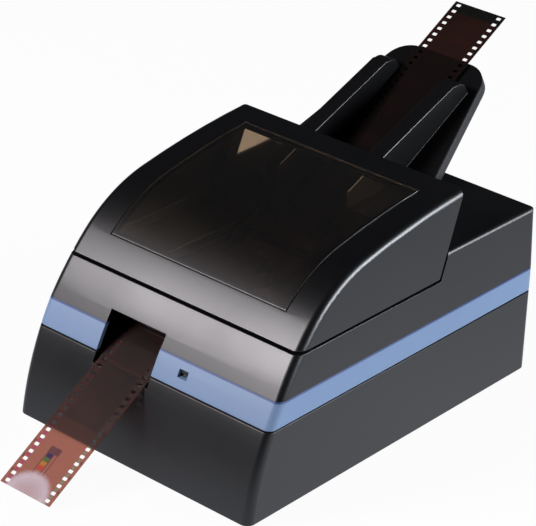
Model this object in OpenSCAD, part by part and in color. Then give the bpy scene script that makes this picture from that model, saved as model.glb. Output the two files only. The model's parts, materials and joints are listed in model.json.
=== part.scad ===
// Desktop scanner for 35 mm film strips.
// Strips lie in a sloping hopper at the back, pass a light gate under the hinged lid
// and leave through a slot in the front. X is across, -Y is the front, Z is up, and
// Z = 0 is the table. The origin is under the middle of the scanner's length, film included.

/* [Casing] */
// Width of the casing up to the top of the band
body_w = 161; // [156:1:176]
// Depth of the casing at its bottom edge
body_l = 230.4; // [228:0.4:244]
// Place of the casing's middle along the length
casing_y = -7.6; // [-12:0.1:0]
// Height that the rubber feet stand proud
foot_h = 2; // [1.5:0.1:4]
// Height of the lower casing
lower_h = 48.4; // [46:0.2:54]
// Height of the colour band
band_h = 13.5; // [12:0.5:16]
// Height from the band to the lid seam
upper_h = 21.1; // [19:0.1:24]
// Height from the band to the rear deck
deck_h = 35.7; // [34:0.1:40]
// Wall thickness of the casings
wall = 2.5; // [2:0.1:3]
// Thickness of the casing floor
floor_t = 2.5; // [2:0.1:4]
// Rounding of the long edges
edge_r = 4.5; // [4:0.1:6]
// Rounding of the rear deck's edges
deck_r = 3; // [2.8:0.1:4]
// Inward lean of the sides above the band, degrees
side_lean = 3; // [2:0.5:4]
// Moulding draft of the sides below the top of the band, degrees
side_draft = 0.2; // [0.1:0.05:0.4]
// Height of the shadow groove under the band
groove_h = 0.8; // [0.4:0.1:1.5]
// Depth of the shadow groove under the band
groove_d = 1; // [0.5:0.1:1.4]

/* [Front curve] */
// Lean of the front wall at its bottom edge, degrees from upright
front_lean = 7.5; // [6:0.5:9]
// Radius of the lower arc
curve1_r = 169.3; // [160:0.1:180]
// Lean at which the lower arc ends, degrees
curve1_end = 43.3; // [42:0.1:45]
// Radius of the middle arc
curve2_r = 81.5; // [78:0.5:86]
// Lean at which the middle arc ends, degrees
curve2_end = 77.7; // [76:0.1:79]
// Radius of the top arc
curve3_r = 523; // [450:1:600]
// Lean at which the top arc ends, degrees
curve3_end = 86.5; // [85:0.1:88]

/* [Lid] */
// Wall thickness of the lid
lid_wall = 2.8; // [2.5:0.1:3.4]
// Height of the shadow gap between lid and casing
seam_gap = 1.5; // [1:0.1:2]
// Distance of the lid's rear edge at the seam behind the casing's front bottom edge
lid_l = 146.3; // [143:0.1:149]
// Rearward lean of the lid's rear edge, degrees from upright
lid_back_lean = 23.2; // [20:0.1:25]
// Distance of the hinge axis in front of the lid's rear edge
hinge_in = 5.2; // [4.4:0.1:6.4]
// Distance of the hinge axis below the top of the lid
hinge_drop = 8.2; // [7.8:0.1:9]
// Radius of the hinge pin
pin_r = 1.5; // [1.2:0.1:1.8]
// Radius of the hinge ears and bosses
ear_r = 4; // [3.6:0.1:4.4]
// Thickness of a hinge ear
ear_t = 3.5; // [3:0.1:4.5]
// Width of the window
window_w = 120; // [100:1:126]
// Distance of the window's front edge behind the casing's front bottom edge
window_l0 = 46.4; // [45:0.1:55]
// Distance of the window's rear edge behind the casing's front bottom edge
window_l1 = 149.7; // [141:0.1:150]
// Thickness of the window pane
pane_t = 1.6; // [1.2:0.1:1.8]
// Width of the ledge that carries the pane
ledge_w = 3.5; // [2:0.1:5]

/* [Film path] */
// Sideways place of the film's centre line
film_x = -18.7; // [-22:0.1:-12]
// Width of the film
film_w = 35; // [34.8:0.1:35.2]
// Thickness of the film
film_t = 0.25; // [0.2:0.01:0.3]
// Spacing of the film's perforations
perf_pitch = 4.75; // [4.7:0.01:4.8]
// Width of a perforation across the film
perf_w = 2.8; // [2.6:0.1:3]
// Length of a perforation along the film
perf_l = 1.98; // [1.8:0.01:2.1]
// Distance of the perforation centres from the film's edge
perf_in = 3.41; // [3.2:0.01:3.6]
// Length of the strip that waits in the hopper
loaded_len = 190; // [150:1:205]
// Length of straight film between the slot and its free end
exit_len = 79; // [60:0.5:80]
// Slope of the hopper and its film, degrees
tray_a = 29; // [28:0.1:31]
// Slope at which the film leaves the slot, degrees
exit_a = 31.6; // [28:0.1:32]
// Radius of the film's two bends
bend_r = 60; // [50:1:66]
// Depth of the gate level below the top of the band
gate_drop = 1.9; // [0:0.1:4]
// Gap between film and guide
film_gap = 0.3; // [0.2:0.01:0.4]
// Width of the film slot in the front
slot_w = 38.2; // [37:0.1:42]
// Depth of the slot below the band
slot_below = 6.4; // [5:0.1:8]
// Height of the slot above the band
slot_above = 6.3; // [5:0.1:8]

/* [Hopper] */
// Distance of the hopper plate at the rear deck behind the casing's front bottom edge
tray_l = 188.5; // [186:0.1:193]
// Length of the hopper plate above the deck, along its slope
tray_len = 94; // [80:0.5:110]
// Half width of the tray at the deck
tray_half0 = 52; // [46:0.5:58]
// Half width of the tray at its top, before its corners are rounded
tray_half1 = 30; // [29:0.5:36]
// Radius of the tray's top corners
tray_r = 15; // [8:0.5:18]
// Thickness of the hopper plate
plate_t = 1.5; // [1.2:0.1:2]
// Thickness of the tray back
tray_t = 6.5; // [5:0.1:8]
// Depth of the hopper plate below the film's middle
plate_gap = 2; // [1.6:0.1:2.6]
// Width of a guide rail
rail_w = 10; // [8:0.5:12]
// Gap between the guide rails
rail_gap = 37.5; // [36.5:0.1:40]
// Height of the rails over the film where they pass the deck
rail_h = 20.1; // [16:0.1:22]
// Fall of the rail tops towards the film, degrees
rail_fall = 7.67; // [6:0.1:8]
// Length of the rails above the deck, along the slope
rail_len = 76; // [60:0.5:80]

/* [Transport] */
// Distance between the entry and exit rollers
roller_span = 58; // [56:0.5:64]
// Radius of the rubber rollers
roller_r = 5; // [4.5:0.1:5.5]
// Radius of the roller shafts
shaft_r = 2; // [1.6:0.1:2.4]
// Radius of the hubs under the tyres
hub_r = 3.2; // [2.8:0.1:3.6]
// Width of an edge tyre
tyre_w = 6; // [4:0.5:8]
// Distance of the edge tyres from the film's centre
tyre_x = 13.5; // [11:0.5:14]
// Width of the pick roller's tyre
pick_w = 16; // [12:0.5:20]
// Radius of the pinch rollers
pinch_r = 4.5; // [4:0.1:5]
// Radius of the pinch roller journals
pinch_shaft_r = 1.5; // [1.2:0.1:1.8]
// Radial running clearance of shafts in their bearings
run_fit = 0.05; // [0.03:0.01:0.08]
// Half distance between the side plates
plate_x = 24; // [23:0.1:26]
// Thickness of the sheet steel side plates
steel_t = 1.2; // [1:0.1:1.6]
// Teeth of the large gate gear
gate_teeth = 40; // [36:1:42]
// Teeth of each roller gear
roller_teeth = 18; // [16:1:20]
// Teeth of the motor pinion
pinion_teeth = 14; // [13:1:16]
// Width of the gears
gear_w = 5; // [4:0.5:6]
// Radius of the motor can
motor_r = 12.5; // [11:0.5:13]
// Length of the motor can
motor_l = 13; // [10:0.5:13.5]

/* [Optics] */
// Length of the light gate along the film
gate_l = 38; // [36:0.5:40]
// Width of the light gate across the film
gate_w = 26; // [24:0.5:28]
// Height of the backlight housing
light_h = 13.5; // [10:0.5:14]
// Radius of the lens barrel
barrel_r = 7; // [6:0.1:7.4]
// Length of the lens barrel
barrel_l = 16; // [12:0.5:18]
// Height of the lens holder
holder_h = 18; // [14:0.5:20]

/* [Electronics] */
// Thickness of the circuit boards
board_t = 1.6; // [1.2:0.1:2]
// Height of the main board above the floor
board_z = 7.5; // [6:0.5:10]
// USB socket centre, in from the right side of the casing
usb_in = 48.5; // [44.5:0.5:52.5]
// Power jack centre, in from the right side of the casing
jack_in = 28.5; // [25.5:0.5:32.5]
// Switch centre, in from the left side of the casing
switch_in = 30.5; // [24.5:0.5:40.5]
// Height of the power switch above the floor
switch_z = 24; // [20:0.5:28]
// Sideways place of the indicator
lamp_x = 19.3; // [16:0.1:30]

/* [Hidden] */
$fn = 48;
reach = 400;       // larger than the whole object, for cutting blocks
skin = 0.1;        // thickness of the slices that a rounded form is spread over

half_w = body_w / 2;
switch_x = switch_in - half_w;
jack_x = half_w - jack_in;
usb_x = half_w - usb_in;
loaded_pitches = floor(loaded_len / perf_pitch);
y_front = casing_y - body_l / 2;
y_back = casing_y + body_l / 2;
lid_back_y = y_front + lid_l;
window_y0 = y_front + window_l0;
window_y1 = y_front + window_l1;
tray_y = y_front + tray_l;
z_base = foot_h;
z_floor = z_base + floor_t;
z_band0 = z_base + lower_h;
z_band1 = z_band0 + band_h;
z_seam = z_band1 + upper_h;
z_deck = z_band1 + deck_h;

// ---- front curve: three arcs that run into each other, in the plane of Y and Z ----
arc1_n = 16;
arc2_n = 20;
arc3_n = 5;
edge_n = 5;
below = 12;        // how far the form runs on below the casing before it is cut flat

function out_dir(lean) = [-cos(lean), sin(lean)];
arc1_c = [y_front + curve1_r * cos(front_lean), z_base - curve1_r * sin(front_lean)];
arc2_c = arc1_c + (curve1_r - curve2_r) * out_dir(curve1_end);
arc3_c = arc2_c + (curve2_r - curve3_r) * out_dir(curve2_end);
function arc_run(c, r, a0, a1, n, first = 0) =
    [for (i = [first:n]) c + r * out_dir(a0 + (a1 - a0) * i / n)];
function front_curve(d) = concat(
    arc_run(arc1_c, curve1_r - d, front_lean, curve1_end, arc1_n),
    arc_run(arc2_c, curve2_r - d, curve1_end, curve2_end, arc2_n, 1),
    arc_run(arc3_c, curve3_r - d, curve2_end, curve3_end, arc3_n, 1));
function form_profile(d) = let (
        run = front_curve(d),
        foot = run[0],
        last = run[len(run) - 1],
        back = y_back - d,
        low = z_base - below)
    concat([[foot.x - (foot.y - low) * tan(front_lean), low]], run,
        [[back, last.y + (back - last.x) / tan(curve3_end)], [back, low]]);
function reversed(pts) = [for (i = [len(pts) - 1:-1:0]) pts[i]];
// Height of the curve at depth y, and depth of the lower arc at height z, both d under the skin
function curve_z(y, d = 0) = let (
        y1 = (arc1_c + (curve1_r - d) * out_dir(curve1_end)).x,
        y2 = (arc2_c + (curve2_r - d) * out_dir(curve2_end)).x)
    y < y1 ? arc1_c.y + sqrt(pow(curve1_r - d, 2) - pow(y - arc1_c.x, 2))
    : y < y2 ? arc2_c.y + sqrt(pow(curve2_r - d, 2) - pow(y - arc2_c.x, 2))
    : arc3_c.y + sqrt(pow(curve3_r - d, 2) - pow(y - arc3_c.x, 2));
function curve_y(z, d = 0) = arc1_c.x - sqrt(pow(curve1_r - d, 2) - pow(z - arc1_c.y, 2));

// ---- lid edge and hinge ----
lid_slope = tan(lid_back_lean);
function lid_edge_y(z) = lid_back_y + (z - z_seam) * lid_slope;
lid_top_z = curve_z(lid_back_y + 20);
hinge_z = lid_top_z - hinge_drop;
hinge_y = lid_edge_y(hinge_z) - hinge_in;
function side_x(z, d) = half_w - (z - z_band1) * tan(side_lean) - d / cos(side_lean);
ear_gap = 0.4;                             // between ear and lid boss
boss_l = 2.4;                              // height of the lid's hinge boss
ear_x = side_x(hinge_z, lid_wall) - boss_l - ear_gap;

// ---- film path: slope, bend, flat gate, bend, slope, in the plane of Y and Z ----
z_gate = z_band1 - gate_drop;
slot_z0 = z_band0 - slot_below;
slot_z1 = z_band1 + slot_above;
sill_y = curve_y(slot_z0);
film_half = film_t / 2;
under_film = film_half + film_gap;
sill_z = slot_z0 + under_film / cos(exit_a);
exit_y = sill_y + (z_gate - sill_z) / tan(exit_a);
tray_top_z = z_deck + plate_gap / cos(tray_a);
inlet_y = tray_y - (tray_top_z - z_gate) / tan(tray_a);
flat_y0 = exit_y + bend_r * tan(exit_a / 2);
flat_y1 = inlet_y - bend_r * tan(tray_a / 2);
slope_y0 = flat_y0 - bend_r * sin(exit_a);
slope_y1 = flat_y1 + bend_r * sin(tray_a);
gate_y = (flat_y0 + flat_y1) / 2;
function film_z(y) =
    y < slope_y0 ? z_gate - (exit_y - y) * tan(exit_a)
    : y < flat_y0 ? z_gate - bend_r + sqrt(pow(bend_r, 2) - pow(flat_y0 - y, 2))
    : y < flat_y1 ? z_gate
    : y < slope_y1 ? z_gate + bend_r - sqrt(pow(bend_r, 2) - pow(y - flat_y1, 2))
    : z_gate + (y - inlet_y) * tan(tray_a);
function film_lean(y) =
    y < slope_y0 ? exit_a
    : y < flat_y0 ? asin((flat_y0 - y) / bend_r)
    : y < flat_y1 ? 0
    : y < slope_y1 ? asin((y - flat_y1) / bend_r)
    : tray_a;
// A point d above the film at depth y, measured square to the film
function off_film(y, d) = [y - d * sin(film_lean(y)), film_z(y) + d * cos(film_lean(y))];
bend_n = 6;
function path_stops(y0, y1) = concat(
    [y0],
    [for (i = [0:bend_n]) let (y = flat_y0 - bend_r * sin(exit_a * (1 - i / bend_n))) if (y > y0 && y < y1) y],
    [for (i = [0:bend_n]) let (y = flat_y1 + bend_r * sin(tray_a * i / bend_n)) if (y > y0 && y < y1) y],
    [y1]);
function path_band(y0, y1, d0, d1) = concat(
    [for (y = path_stops(y0, y1)) off_film(y, d0)],
    reversed([for (y = path_stops(y0, y1)) off_film(y, d1)]));

// ---- rollers and gears: centres in the plane of Y and Z ----
function below_film(y, r) = off_film(y, -(r + under_film));
function above_film(y, r) = off_film(y, r + under_film);
entry_c = below_film(gate_y + roller_span / 2, roller_r);
exit_c = below_film(gate_y - roller_span / 2, roller_r);
pick_past = 11;
pick_c = below_film(slope_y1 + pick_past, roller_r);
entry_pinch_c = above_film(gate_y + roller_span / 2, pinch_r);
exit_pinch_c = above_film(gate_y - roller_span / 2, pinch_r);
gear_m = norm(entry_c - exit_c) / (gate_teeth + roller_teeth);
gate_c = (entry_c + exit_c) / 2;
link_teeth = ceil(norm(pick_c - entry_c) / gear_m) - roller_teeth + 2;
link_side = gear_m * (roller_teeth + link_teeth) / 2;
link_half = norm(pick_c - entry_c) / 2;
link_off = sqrt(pow(link_side, 2) - pow(link_half, 2));
link_dir = (pick_c - entry_c) / norm(pick_c - entry_c);
link_c = (pick_c + entry_c) / 2 + link_off * [link_dir.y, -link_dir.x];
motor_c = gate_c - [0, gear_m * (gate_teeth + pinion_teeth) / 2];
function angle_of(v) = atan2(v.y, v.x);
// Turn of a second gear so that its teeth mesh with those of a first one
function mesh_turn(c1, turn1, n1, c2, n2) = let (
        a = angle_of(c2 - c1),
        phase = (a - turn1) * n1 / 360)
    a + 180 - (0.5 - phase) * 360 / n2;
gate_turn = 0;
entry_turn = mesh_turn(gate_c, gate_turn, gate_teeth, entry_c, roller_teeth);
exit_turn = mesh_turn(gate_c, gate_turn, gate_teeth, exit_c, roller_teeth);
link_turn = mesh_turn(entry_c, entry_turn, roller_teeth, link_c, link_teeth);
pick_turn = mesh_turn(link_c, link_turn, link_teeth, pick_c, roller_teeth);
pinion_turn = mesh_turn(gate_c, gate_turn, gate_teeth, motor_c, pinion_teeth);

// ---- chassis ----
left_x = film_x - plate_x;                 // inner faces of the side plates
right_x = film_x + plate_x;
gear_gap = 1.5;                            // between side plate and gears
gear_x = right_x + steel_t + gear_gap;
gear_end = gear_x + gear_w;
base_t = 1.5;
base_stand = 3.5;                          // height of the posts under the base plate
base_z = z_floor + base_stand;
base_top = base_z + base_t;
flange = 9;
plate_y0 = slope_y0 - 3;
plate_y1 = pick_c.x + 9.5;
plate_low = pick_c.y + 1;
bush_r = shaft_r + 1.5;
bush_l = 3;
flange_r = bush_r + 1;
flange_t = bush_l - steel_t;

// ---- inner deck, posts and screws ----
rim_h = 3.5;                               // depth of the inner deck below the seam
inner_t = 2.5;
z_inner = z_seam - rim_h;
post_r = 5;                                // screw posts of the lower casing
post_x = half_w - wall - post_r - 3;
post_front_y = curve_y(z_inner - inner_t, wall) + 10;
post_back_y = y_back - 15;
post_z = z_band0 - 10;                     // where lower and upper posts meet
screw_r = 1.5;
head_r = 2.9;
head_h = 2.2;
thread_fit = 0.02;
board_x0 = gear_end + 5.3;
board_x1 = post_x - post_r - 0.7;
board_y0 = gate_y + 6;
board_y1 = y_back - wall - 7;
board_bottom = z_floor + board_z;
board_top = board_bottom + board_t;

// ================= helpers =================
module side_plane(x0, x1) translate([x0, 0, 0]) rotate([90, 0, 90]) linear_extrude(x1 - x0) children();
module slab(z0, z1) translate([-reach, -reach, z0]) cube([2 * reach, 2 * reach, z1 - z0]);
module block(x0, x1, y0, y1, z0, z1) translate([x0, y0, z0]) cube([x1 - x0, y1 - y0, z1 - z0]);
// A round bar along X about a centre in the plane of Y and Z
module bar(c, r, x0, x1) translate([x0, c.x, c.y]) rotate([0, 90, 0]) cylinder(r = r, h = x1 - x0);
module post(x, y, r, z0, z1) translate([x, y, z0]) cylinder(r = r, h = z1 - z0);
// The frame of the hopper: X across, Y up along the film, Z square to it
module on_slope() translate([film_x, inlet_y, z_gate]) rotate([tray_a, 0, 0]) children();

// A thin upright slice whose outer face lies in the plane of Y and Z
module slice(side) side_plane(side < 0 ? 0 : -skin, side < 0 ? skin : 0) children();

// Convex body of the casing, d under its skin, with rounded side edges; lean tips its sides in
module form(d, lean) hull()
    for (side = [-1, 1], i = [0:edge_n])
        let (a = 90 * i / edge_n, round_r = edge_r - d)
            translate([side * half_w, 0, z_band1]) rotate([0, -side * lean, 0])
                translate([side * (round_r * cos(a) - edge_r), 0, -z_band1]) slice(side)
                    polygon(form_profile(edge_r - round_r * sin(a)));

// Block that rounds the edges of the rear deck, d under its skin
module deck_form(d) hull()
    for (side = [-1, 1], i = [0:edge_n])
        let (a = 90 * i / edge_n, round_r = deck_r - d, in = deck_r - round_r * sin(a))
            translate([side * half_w, 0, z_band1]) rotate([0, -side * side_lean, 0])
                translate([side * (round_r * cos(a) - deck_r), 0, -z_band1]) slice(side)
                    polygon(concat(
                        [[-reach / 2, z_base - below], [-reach / 2, z_deck - in]],
                        [for (j = [0:edge_n]) let (b = 90 - 90 * j / edge_n, r = deck_r - in)
                            [y_back - deck_r + r * cos(b), z_deck - deck_r + r * sin(b)]],
                        [[y_back - in, z_base - below]]));

// Everything over the seam and in front of the lid's rear edge, grown by g at the rear and low down
module lid_zone(z, g) side_plane(-reach, reach) polygon([
    [-reach, z], [lid_edge_y(z) + g, z], [lid_edge_y(z_base + reach) + g, z_base + reach], [-reach, z_base + reach]]);

module slot_cut() block(film_x - slot_w / 2, film_x + slot_w / 2, -reach, gate_y - roller_span / 2, slot_z0, slot_z1);

// Countersunk-free cap screw pointing up, its head under z
module screw(x, y, z, r, length, hr, hh) {
    translate([x, y, z]) cylinder(r = r, h = length);
    translate([x, y, z - hh]) difference() {
        cylinder(r = hr, h = hh);
        translate([0, 0, -1]) cylinder(r = hr * 0.5, h = 1 + hh * 0.55, $fn = 6);
    }
}

// ================= casings =================
foot_r = 7;
foot_sink = 1;
foot_places = [for (x = [-half_w + 15, half_w - 15], y = [y_front + 17, y_back - 30]) [x, y]];
post_places = [for (x = [-post_x, post_x], y = [post_front_y, post_back_y]) [x, y]];
board_posts = [for (x = [board_x0 + 4, board_x1 - 4], y = [board_y0 + 17, board_y1 - 24]) [x, y]];
stand_places = [for (x = [film_x - 14, film_x + 14], y = [gate_y - 16, gate_y + 16]) [x, y]];
stand_h = 2.5;
sensor_top = base_top + stand_h + board_t; // top face of the sensor board
stand_screw_r = 1;
base_posts = [for (x = [left_x - 4.5, right_x + 5.5], y = [plate_y0 + 8, plate_y1 - 8]) [x, y]];
usb_w = 12;
usb_h = 11;
jack_r = 3.6;
jack_z = board_top + 5.5;
panel_gap = 0.3;
switch_w = 13;
switch_h = 19;
sw_z = z_floor + switch_z;
lamp_w = 6;
lamp_h = 4;
lamp_z = z_band0 + 6.9;
lamp_post_y = curve_y(lamp_z, wall) + 4.2;
head_z = z_floor + 4;                      // seat of the case screw heads

module lower_casing() color([0.13, 0.13, 0.14]) {
    difference() {
        union() {
            intersection() {
                form(0, side_draft);
                slab(z_base, z_band0 - groove_h);
            }
            intersection() {
                form(groove_d, side_draft);
                slab(z_base, z_band0);
            }
        }
        intersection() {
            form(wall, side_draft);
            slab(z_floor, z_band0 + 1);
        }
        slot_cut();
        for (p = post_places) post(p.x, p.y, head_r + 0.5, z_base - 1, head_z);
        for (p = foot_places) post(p.x, p.y, foot_r, z_base - 1, z_base + foot_sink);
        block(usb_x - usb_w / 2 - panel_gap, usb_x + usb_w / 2 + panel_gap, y_back - 2 * wall, y_back + 1,
            board_top - panel_gap, board_top + usb_h + panel_gap);
        translate([jack_x, y_back + 1, jack_z]) rotate([90, 0, 0])
            cylinder(r = jack_r + panel_gap, h = 3 * wall);
        block(switch_x - switch_w / 2, switch_x + switch_w / 2, y_back - 2 * wall, y_back + 1,
            sw_z - switch_h / 2, sw_z + switch_h / 2);
    }
    for (p = post_places) difference() {
        post(p.x, p.y, post_r, z_floor, post_z);
        post(p.x, p.y, head_r + 0.5, z_floor - 1, head_z);
        post(p.x, p.y, screw_r + 0.2, z_floor, post_z + 1);
    }
    for (p = board_posts) difference() {
        post(p.x, p.y, 3.5, z_floor, board_bottom);
        post(p.x, p.y, screw_r, board_bottom - 5, board_bottom + 1);
    }
    for (p = base_posts) difference() {
        post(p.x, p.y, 3.5, z_floor, base_z);
        post(p.x, p.y, screw_r, z_floor, base_z + 1);
    }
    difference() {
        block(lamp_x - 4, lamp_x + 4, lamp_post_y - 2.5, lamp_post_y + 2.5, z_floor, lamp_z - 5);
        block(lamp_x - 5, lamp_x + 5, lamp_post_y - 0.6, lamp_post_y + 0.6, lamp_z - 9, lamp_z);
    }
}

module colour_band() color([0.56, 0.65, 0.82])
    difference() {
        intersection() {
            form(0, side_draft);
            slab(z_band0, z_band1);
        }
        form(wall, side_draft);
        slot_cut();
        block(lamp_x - lamp_w / 2, lamp_x + lamp_w / 2, -reach, 0, lamp_z - lamp_h / 2, lamp_z + lamp_h / 2);
    }

cut_half = rail_gap / 2 + rail_w + 0.5;    // half width of the deck's opening for the hopper
plate_exit_y = tray_y + plate_t / sin(tray_a) + 0.1;
open_x0 = left_x - steel_t - 1.5;          // opening of the inner deck over the mechanism
open_x1 = gear_end + 4.5;
open_y0 = gate_y - roller_span / 2 - 13;
open_y1 = plate_y1 + 3;
open_z = z_seam - 1;
lip_gap = 0.4;
lip_t = 1.6;
lip_h = 2.5;
stop_x = half_w - 12.5;                    // lid stops and their bumpers
stop_y = curve_y(z_seam) + 25;
bumper_h = 1.7;
stop_z = z_inner + bumper_h + 0.3;

// A hinge ear leans back like the lid's rear edge and grows out of the step below the deck
ear_foot_z = z_inner - inner_t / 2;
module ear(side) {
    lean_dir = [sin(lid_back_lean), cos(lid_back_lean)];
    square_dir = [cos(lid_back_lean), -sin(lid_back_lean)];
    hinge = [hinge_y, hinge_z];
    foot = hinge - lean_dir * (hinge_z - ear_foot_z) / cos(lid_back_lean);
    x0 = side > 0 ? ear_x - ear_t : -ear_x;
    side_plane(x0, x0 + ear_t) {
        polygon(concat(
            [foot - [ear_r / cos(lid_back_lean), 0], foot + [ear_r / cos(lid_back_lean), 0]],
            [for (a = [0:15:180]) hinge + ear_r * (square_dir * cos(a) + lean_dir * sin(a))]));
        polygon([foot, [lid_edge_y(ear_foot_z) + seam_gap + 1, ear_foot_z],
            [lid_edge_y(z_deck - 4) + seam_gap + 1, z_deck - 4], hinge - lean_dir * (hinge_z - z_deck + 4)]);
    }
}

module upper_casing() color([0.13, 0.13, 0.14])
    difference() {
        union() {
            difference() {
                intersection() {
                    form(0, side_lean);
                    deck_form(0);
                    slab(z_band1, z_deck + 1);
                }
                lid_zone(z_seam - seam_gap / 2, seam_gap);
                intersection() {
                    form(wall, side_lean);
                    deck_form(wall);
                    difference() {
                        slab(z_band1 - 1, z_deck - wall);
                        lid_zone(z_inner - inner_t, seam_gap + wall);
                    }
                }
            }
            intersection() {
                form(lid_wall + lip_gap, side_lean);
                slab(z_inner, z_seam + lip_h);
                side_plane(-reach, reach) polygon([[-reach, 0], [lid_edge_y(z_seam) - 1, 0],
                    [lid_edge_y(z_seam) - 1, reach], [-reach, reach]]);
            }
            for (side = [-1, 1]) ear(side);
            for (p = post_places) post(p.x, p.y, post_r - 0.5, post_z, p.y > 0 ? z_deck - wall : z_inner - inner_t / 2);
        }
        intersection() {
            form(lid_wall + lip_gap + lip_t, side_lean);
            lid_zone(z_inner, seam_gap);
            difference() {
                slab(z_inner, z_deck + 1);
                for (side = [-1, 1]) ear(side);
            }
        }
        slot_cut();
        for (p = post_places) post(p.x, p.y, screw_r, post_z - 1, post_z + 16);
        bar([hinge_y, hinge_z], pin_r, -ear_x - 1, ear_x + 1);
        block(open_x0, open_x1, open_y0, open_y1, z_inner - 2 * inner_t, open_z);
        block(film_x - cut_half, film_x + cut_half, lid_back_y - 4, plate_exit_y, z_inner - 2 * inner_t, z_deck + 1);
    }

module feet() color([0.08, 0.08, 0.08])
    for (p = foot_places) post(p.x, p.y, foot_r, 0, z_base + foot_sink);

module case_screws() color([0.7, 0.7, 0.72])
    for (p = post_places) screw(p.x, p.y, head_z, screw_r - thread_fit, post_z + 14 - head_z, head_r, head_h);

// ================= lid =================
pane_top = 0.1;
pane_fit = 0.4;

module curved_slab(d0, d1, x0, x1) side_plane(x0, x1)
    polygon(concat(front_curve(d0), reversed(front_curve(d1))));

module lid() color([0.12, 0.12, 0.13])
    difference() {
        union() {
            intersection() {
                difference() {
                    form(0, side_lean);
                    form(lid_wall, side_lean);
                }
                lid_zone(z_seam + seam_gap / 2, 0);
            }
            for (side = [-1, 1]) {
                x0 = ear_x + ear_gap;
                x1 = side_x(hinge_z, lid_wall / 2);
                bar([hinge_y, hinge_z], ear_r, side > 0 ? x0 : -x1, side > 0 ? x1 : -x0);
                // stop rib behind the front wall
                side_plane(side * stop_x - 2, side * stop_x + 2) polygon([[stop_y - 2, stop_z],
                    [stop_y + 2, stop_z], [stop_y + 2, curve_z(stop_y + 2, lid_wall / 2)],
                    [stop_y - 2, curve_z(stop_y - 2, lid_wall / 2)]]);
            }
        }
        bar([hinge_y, hinge_z], pin_r + run_fit, -ear_x - boss_l - ear_gap + 0.2, ear_x + boss_l + ear_gap - 0.2);
        intersection() {
            curved_slab(-lid_wall, pane_top + pane_t, -window_w / 2, window_w / 2);
            block(-reach, reach, window_y0, window_y1, 0, reach);
        }
        block(-window_w / 2 + ledge_w, window_w / 2 - ledge_w, window_y0 + ledge_w, window_y1 - ledge_w,
            z_seam + 2, reach);
    }

module window() color([0.15, 0.13, 0.11, 0.7])
    intersection() {
        curved_slab(pane_top, pane_top + pane_t, -window_w / 2 + pane_fit, window_w / 2 - pane_fit);
        block(-reach, reach, window_y0 + pane_fit, window_y1 - pane_fit, 0, reach);
    }

module hinge_pins() color([0.75, 0.75, 0.77])
    for (side = [-1, 1]) {
        x0 = ear_x - ear_t;
        x1 = ear_x + ear_gap + boss_l - 0.4;
        bar([hinge_y, hinge_z], pin_r, side > 0 ? x0 : -x1, side > 0 ? x1 : -x0);
    }

module lid_bumpers() color([0.1, 0.1, 0.1])
    for (side = [-1, 1]) post(side * stop_x, stop_y, 3, z_inner, z_inner + bumper_h);

// ================= hopper and film =================
deck_u = (tray_y - inlet_y - plate_gap * sin(tray_a)) / cos(tray_a);
tray_u = deck_u + tray_len;

// Outline of the tray: tapered, with round top corners
taper = atan((tray_half0 - tray_half1) / tray_len);
corner_x = tray_half1 - tray_r * (1 - sin(taper)) / cos(taper);
corner_n = 8;
function tray_corner(side) = [for (i = [0:corner_n]) let (a = taper + (90 - taper) * i / corner_n)
    [side * (corner_x + tray_r * cos(a)), tray_u - tray_r + tray_r * sin(a)]];
module tray_outline() polygon(concat([[tray_half0, deck_u]], tray_corner(1), reversed(tray_corner(-1)),
    [[-tray_half0, deck_u]]));

rail_y0 = lid_back_y + 7;                  // lower end of the rails and the trough
rail_u1 = deck_u + rail_len;
rail_end_r = 8;
function rail_top(u) = rail_h - (u - deck_u) * tan(rail_fall);
runner_w = 3;

module film_hopper() color([0.16, 0.16, 0.17])
    difference() {
        union() {
            intersection() {
                on_slope() translate([0, 0, -plate_gap - plate_t]) linear_extrude(plate_t) tray_outline();
                slab(z_deck, reach);
            }
            on_slope() {
                translate([-rail_gap / 2 - rail_w, 0, -plate_gap - plate_t])
                    cube([rail_gap + 2 * rail_w, deck_u + 20, plate_t]);
                for (side = [-1, 1]) {
                    rail_x = side * (rail_gap + rail_w) / 2;
                    side_plane(rail_x - rail_w / 2, rail_x + rail_w / 2)
                        polygon(concat(
                            [[0, -plate_gap], [rail_u1, -plate_gap]],
                            [for (a = [0:15:90 - rail_fall]) [rail_u1 - rail_end_r + rail_end_r * cos(a),
                                rail_top(rail_u1) - rail_end_r + rail_end_r * sin(a)]],
                            [[rail_u1 - rail_end_r, rail_top(rail_u1 - rail_end_r)], [0, rail_top(0)]]));
                    translate([side * (film_w - runner_w) / 2 - runner_w / 2, 0, -plate_gap])
                        cube([runner_w, tray_u - tray_r, plate_gap - under_film]);
                }
            }
        }
        block(-reach, reach, -reach, rail_y0, 0, reach);
    }

module tray_back() color([0.22, 0.22, 0.22])
    intersection() {
        on_slope() translate([0, 0, -plate_gap - plate_t - tray_t]) linear_extrude(tray_t) tray_outline();
        slab(z_deck, reach);
    }

// A flat perforated strip along +Y from the origin, centred on X and Z
module strip(pitches) translate([0, 0, -film_half]) linear_extrude(film_t)
    difference() {
        translate([-film_w / 2, 0]) square([film_w, pitches * perf_pitch]);
        for (side = [-1, 1], i = [0:pitches - 1])
            translate([side * (film_w / 2 - perf_in) - perf_w / 2, (i + 0.5) * perf_pitch - perf_l / 2])
                square([perf_w, perf_l]);
    }

film_end_u = deck_u + 130;                 // upper end of the waiting strip
module loaded_film() color([0.25, 0.12, 0.09])
    on_slope() translate([0, film_end_u - loaded_pitches * perf_pitch, 0]) strip(loaded_pitches);

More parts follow.
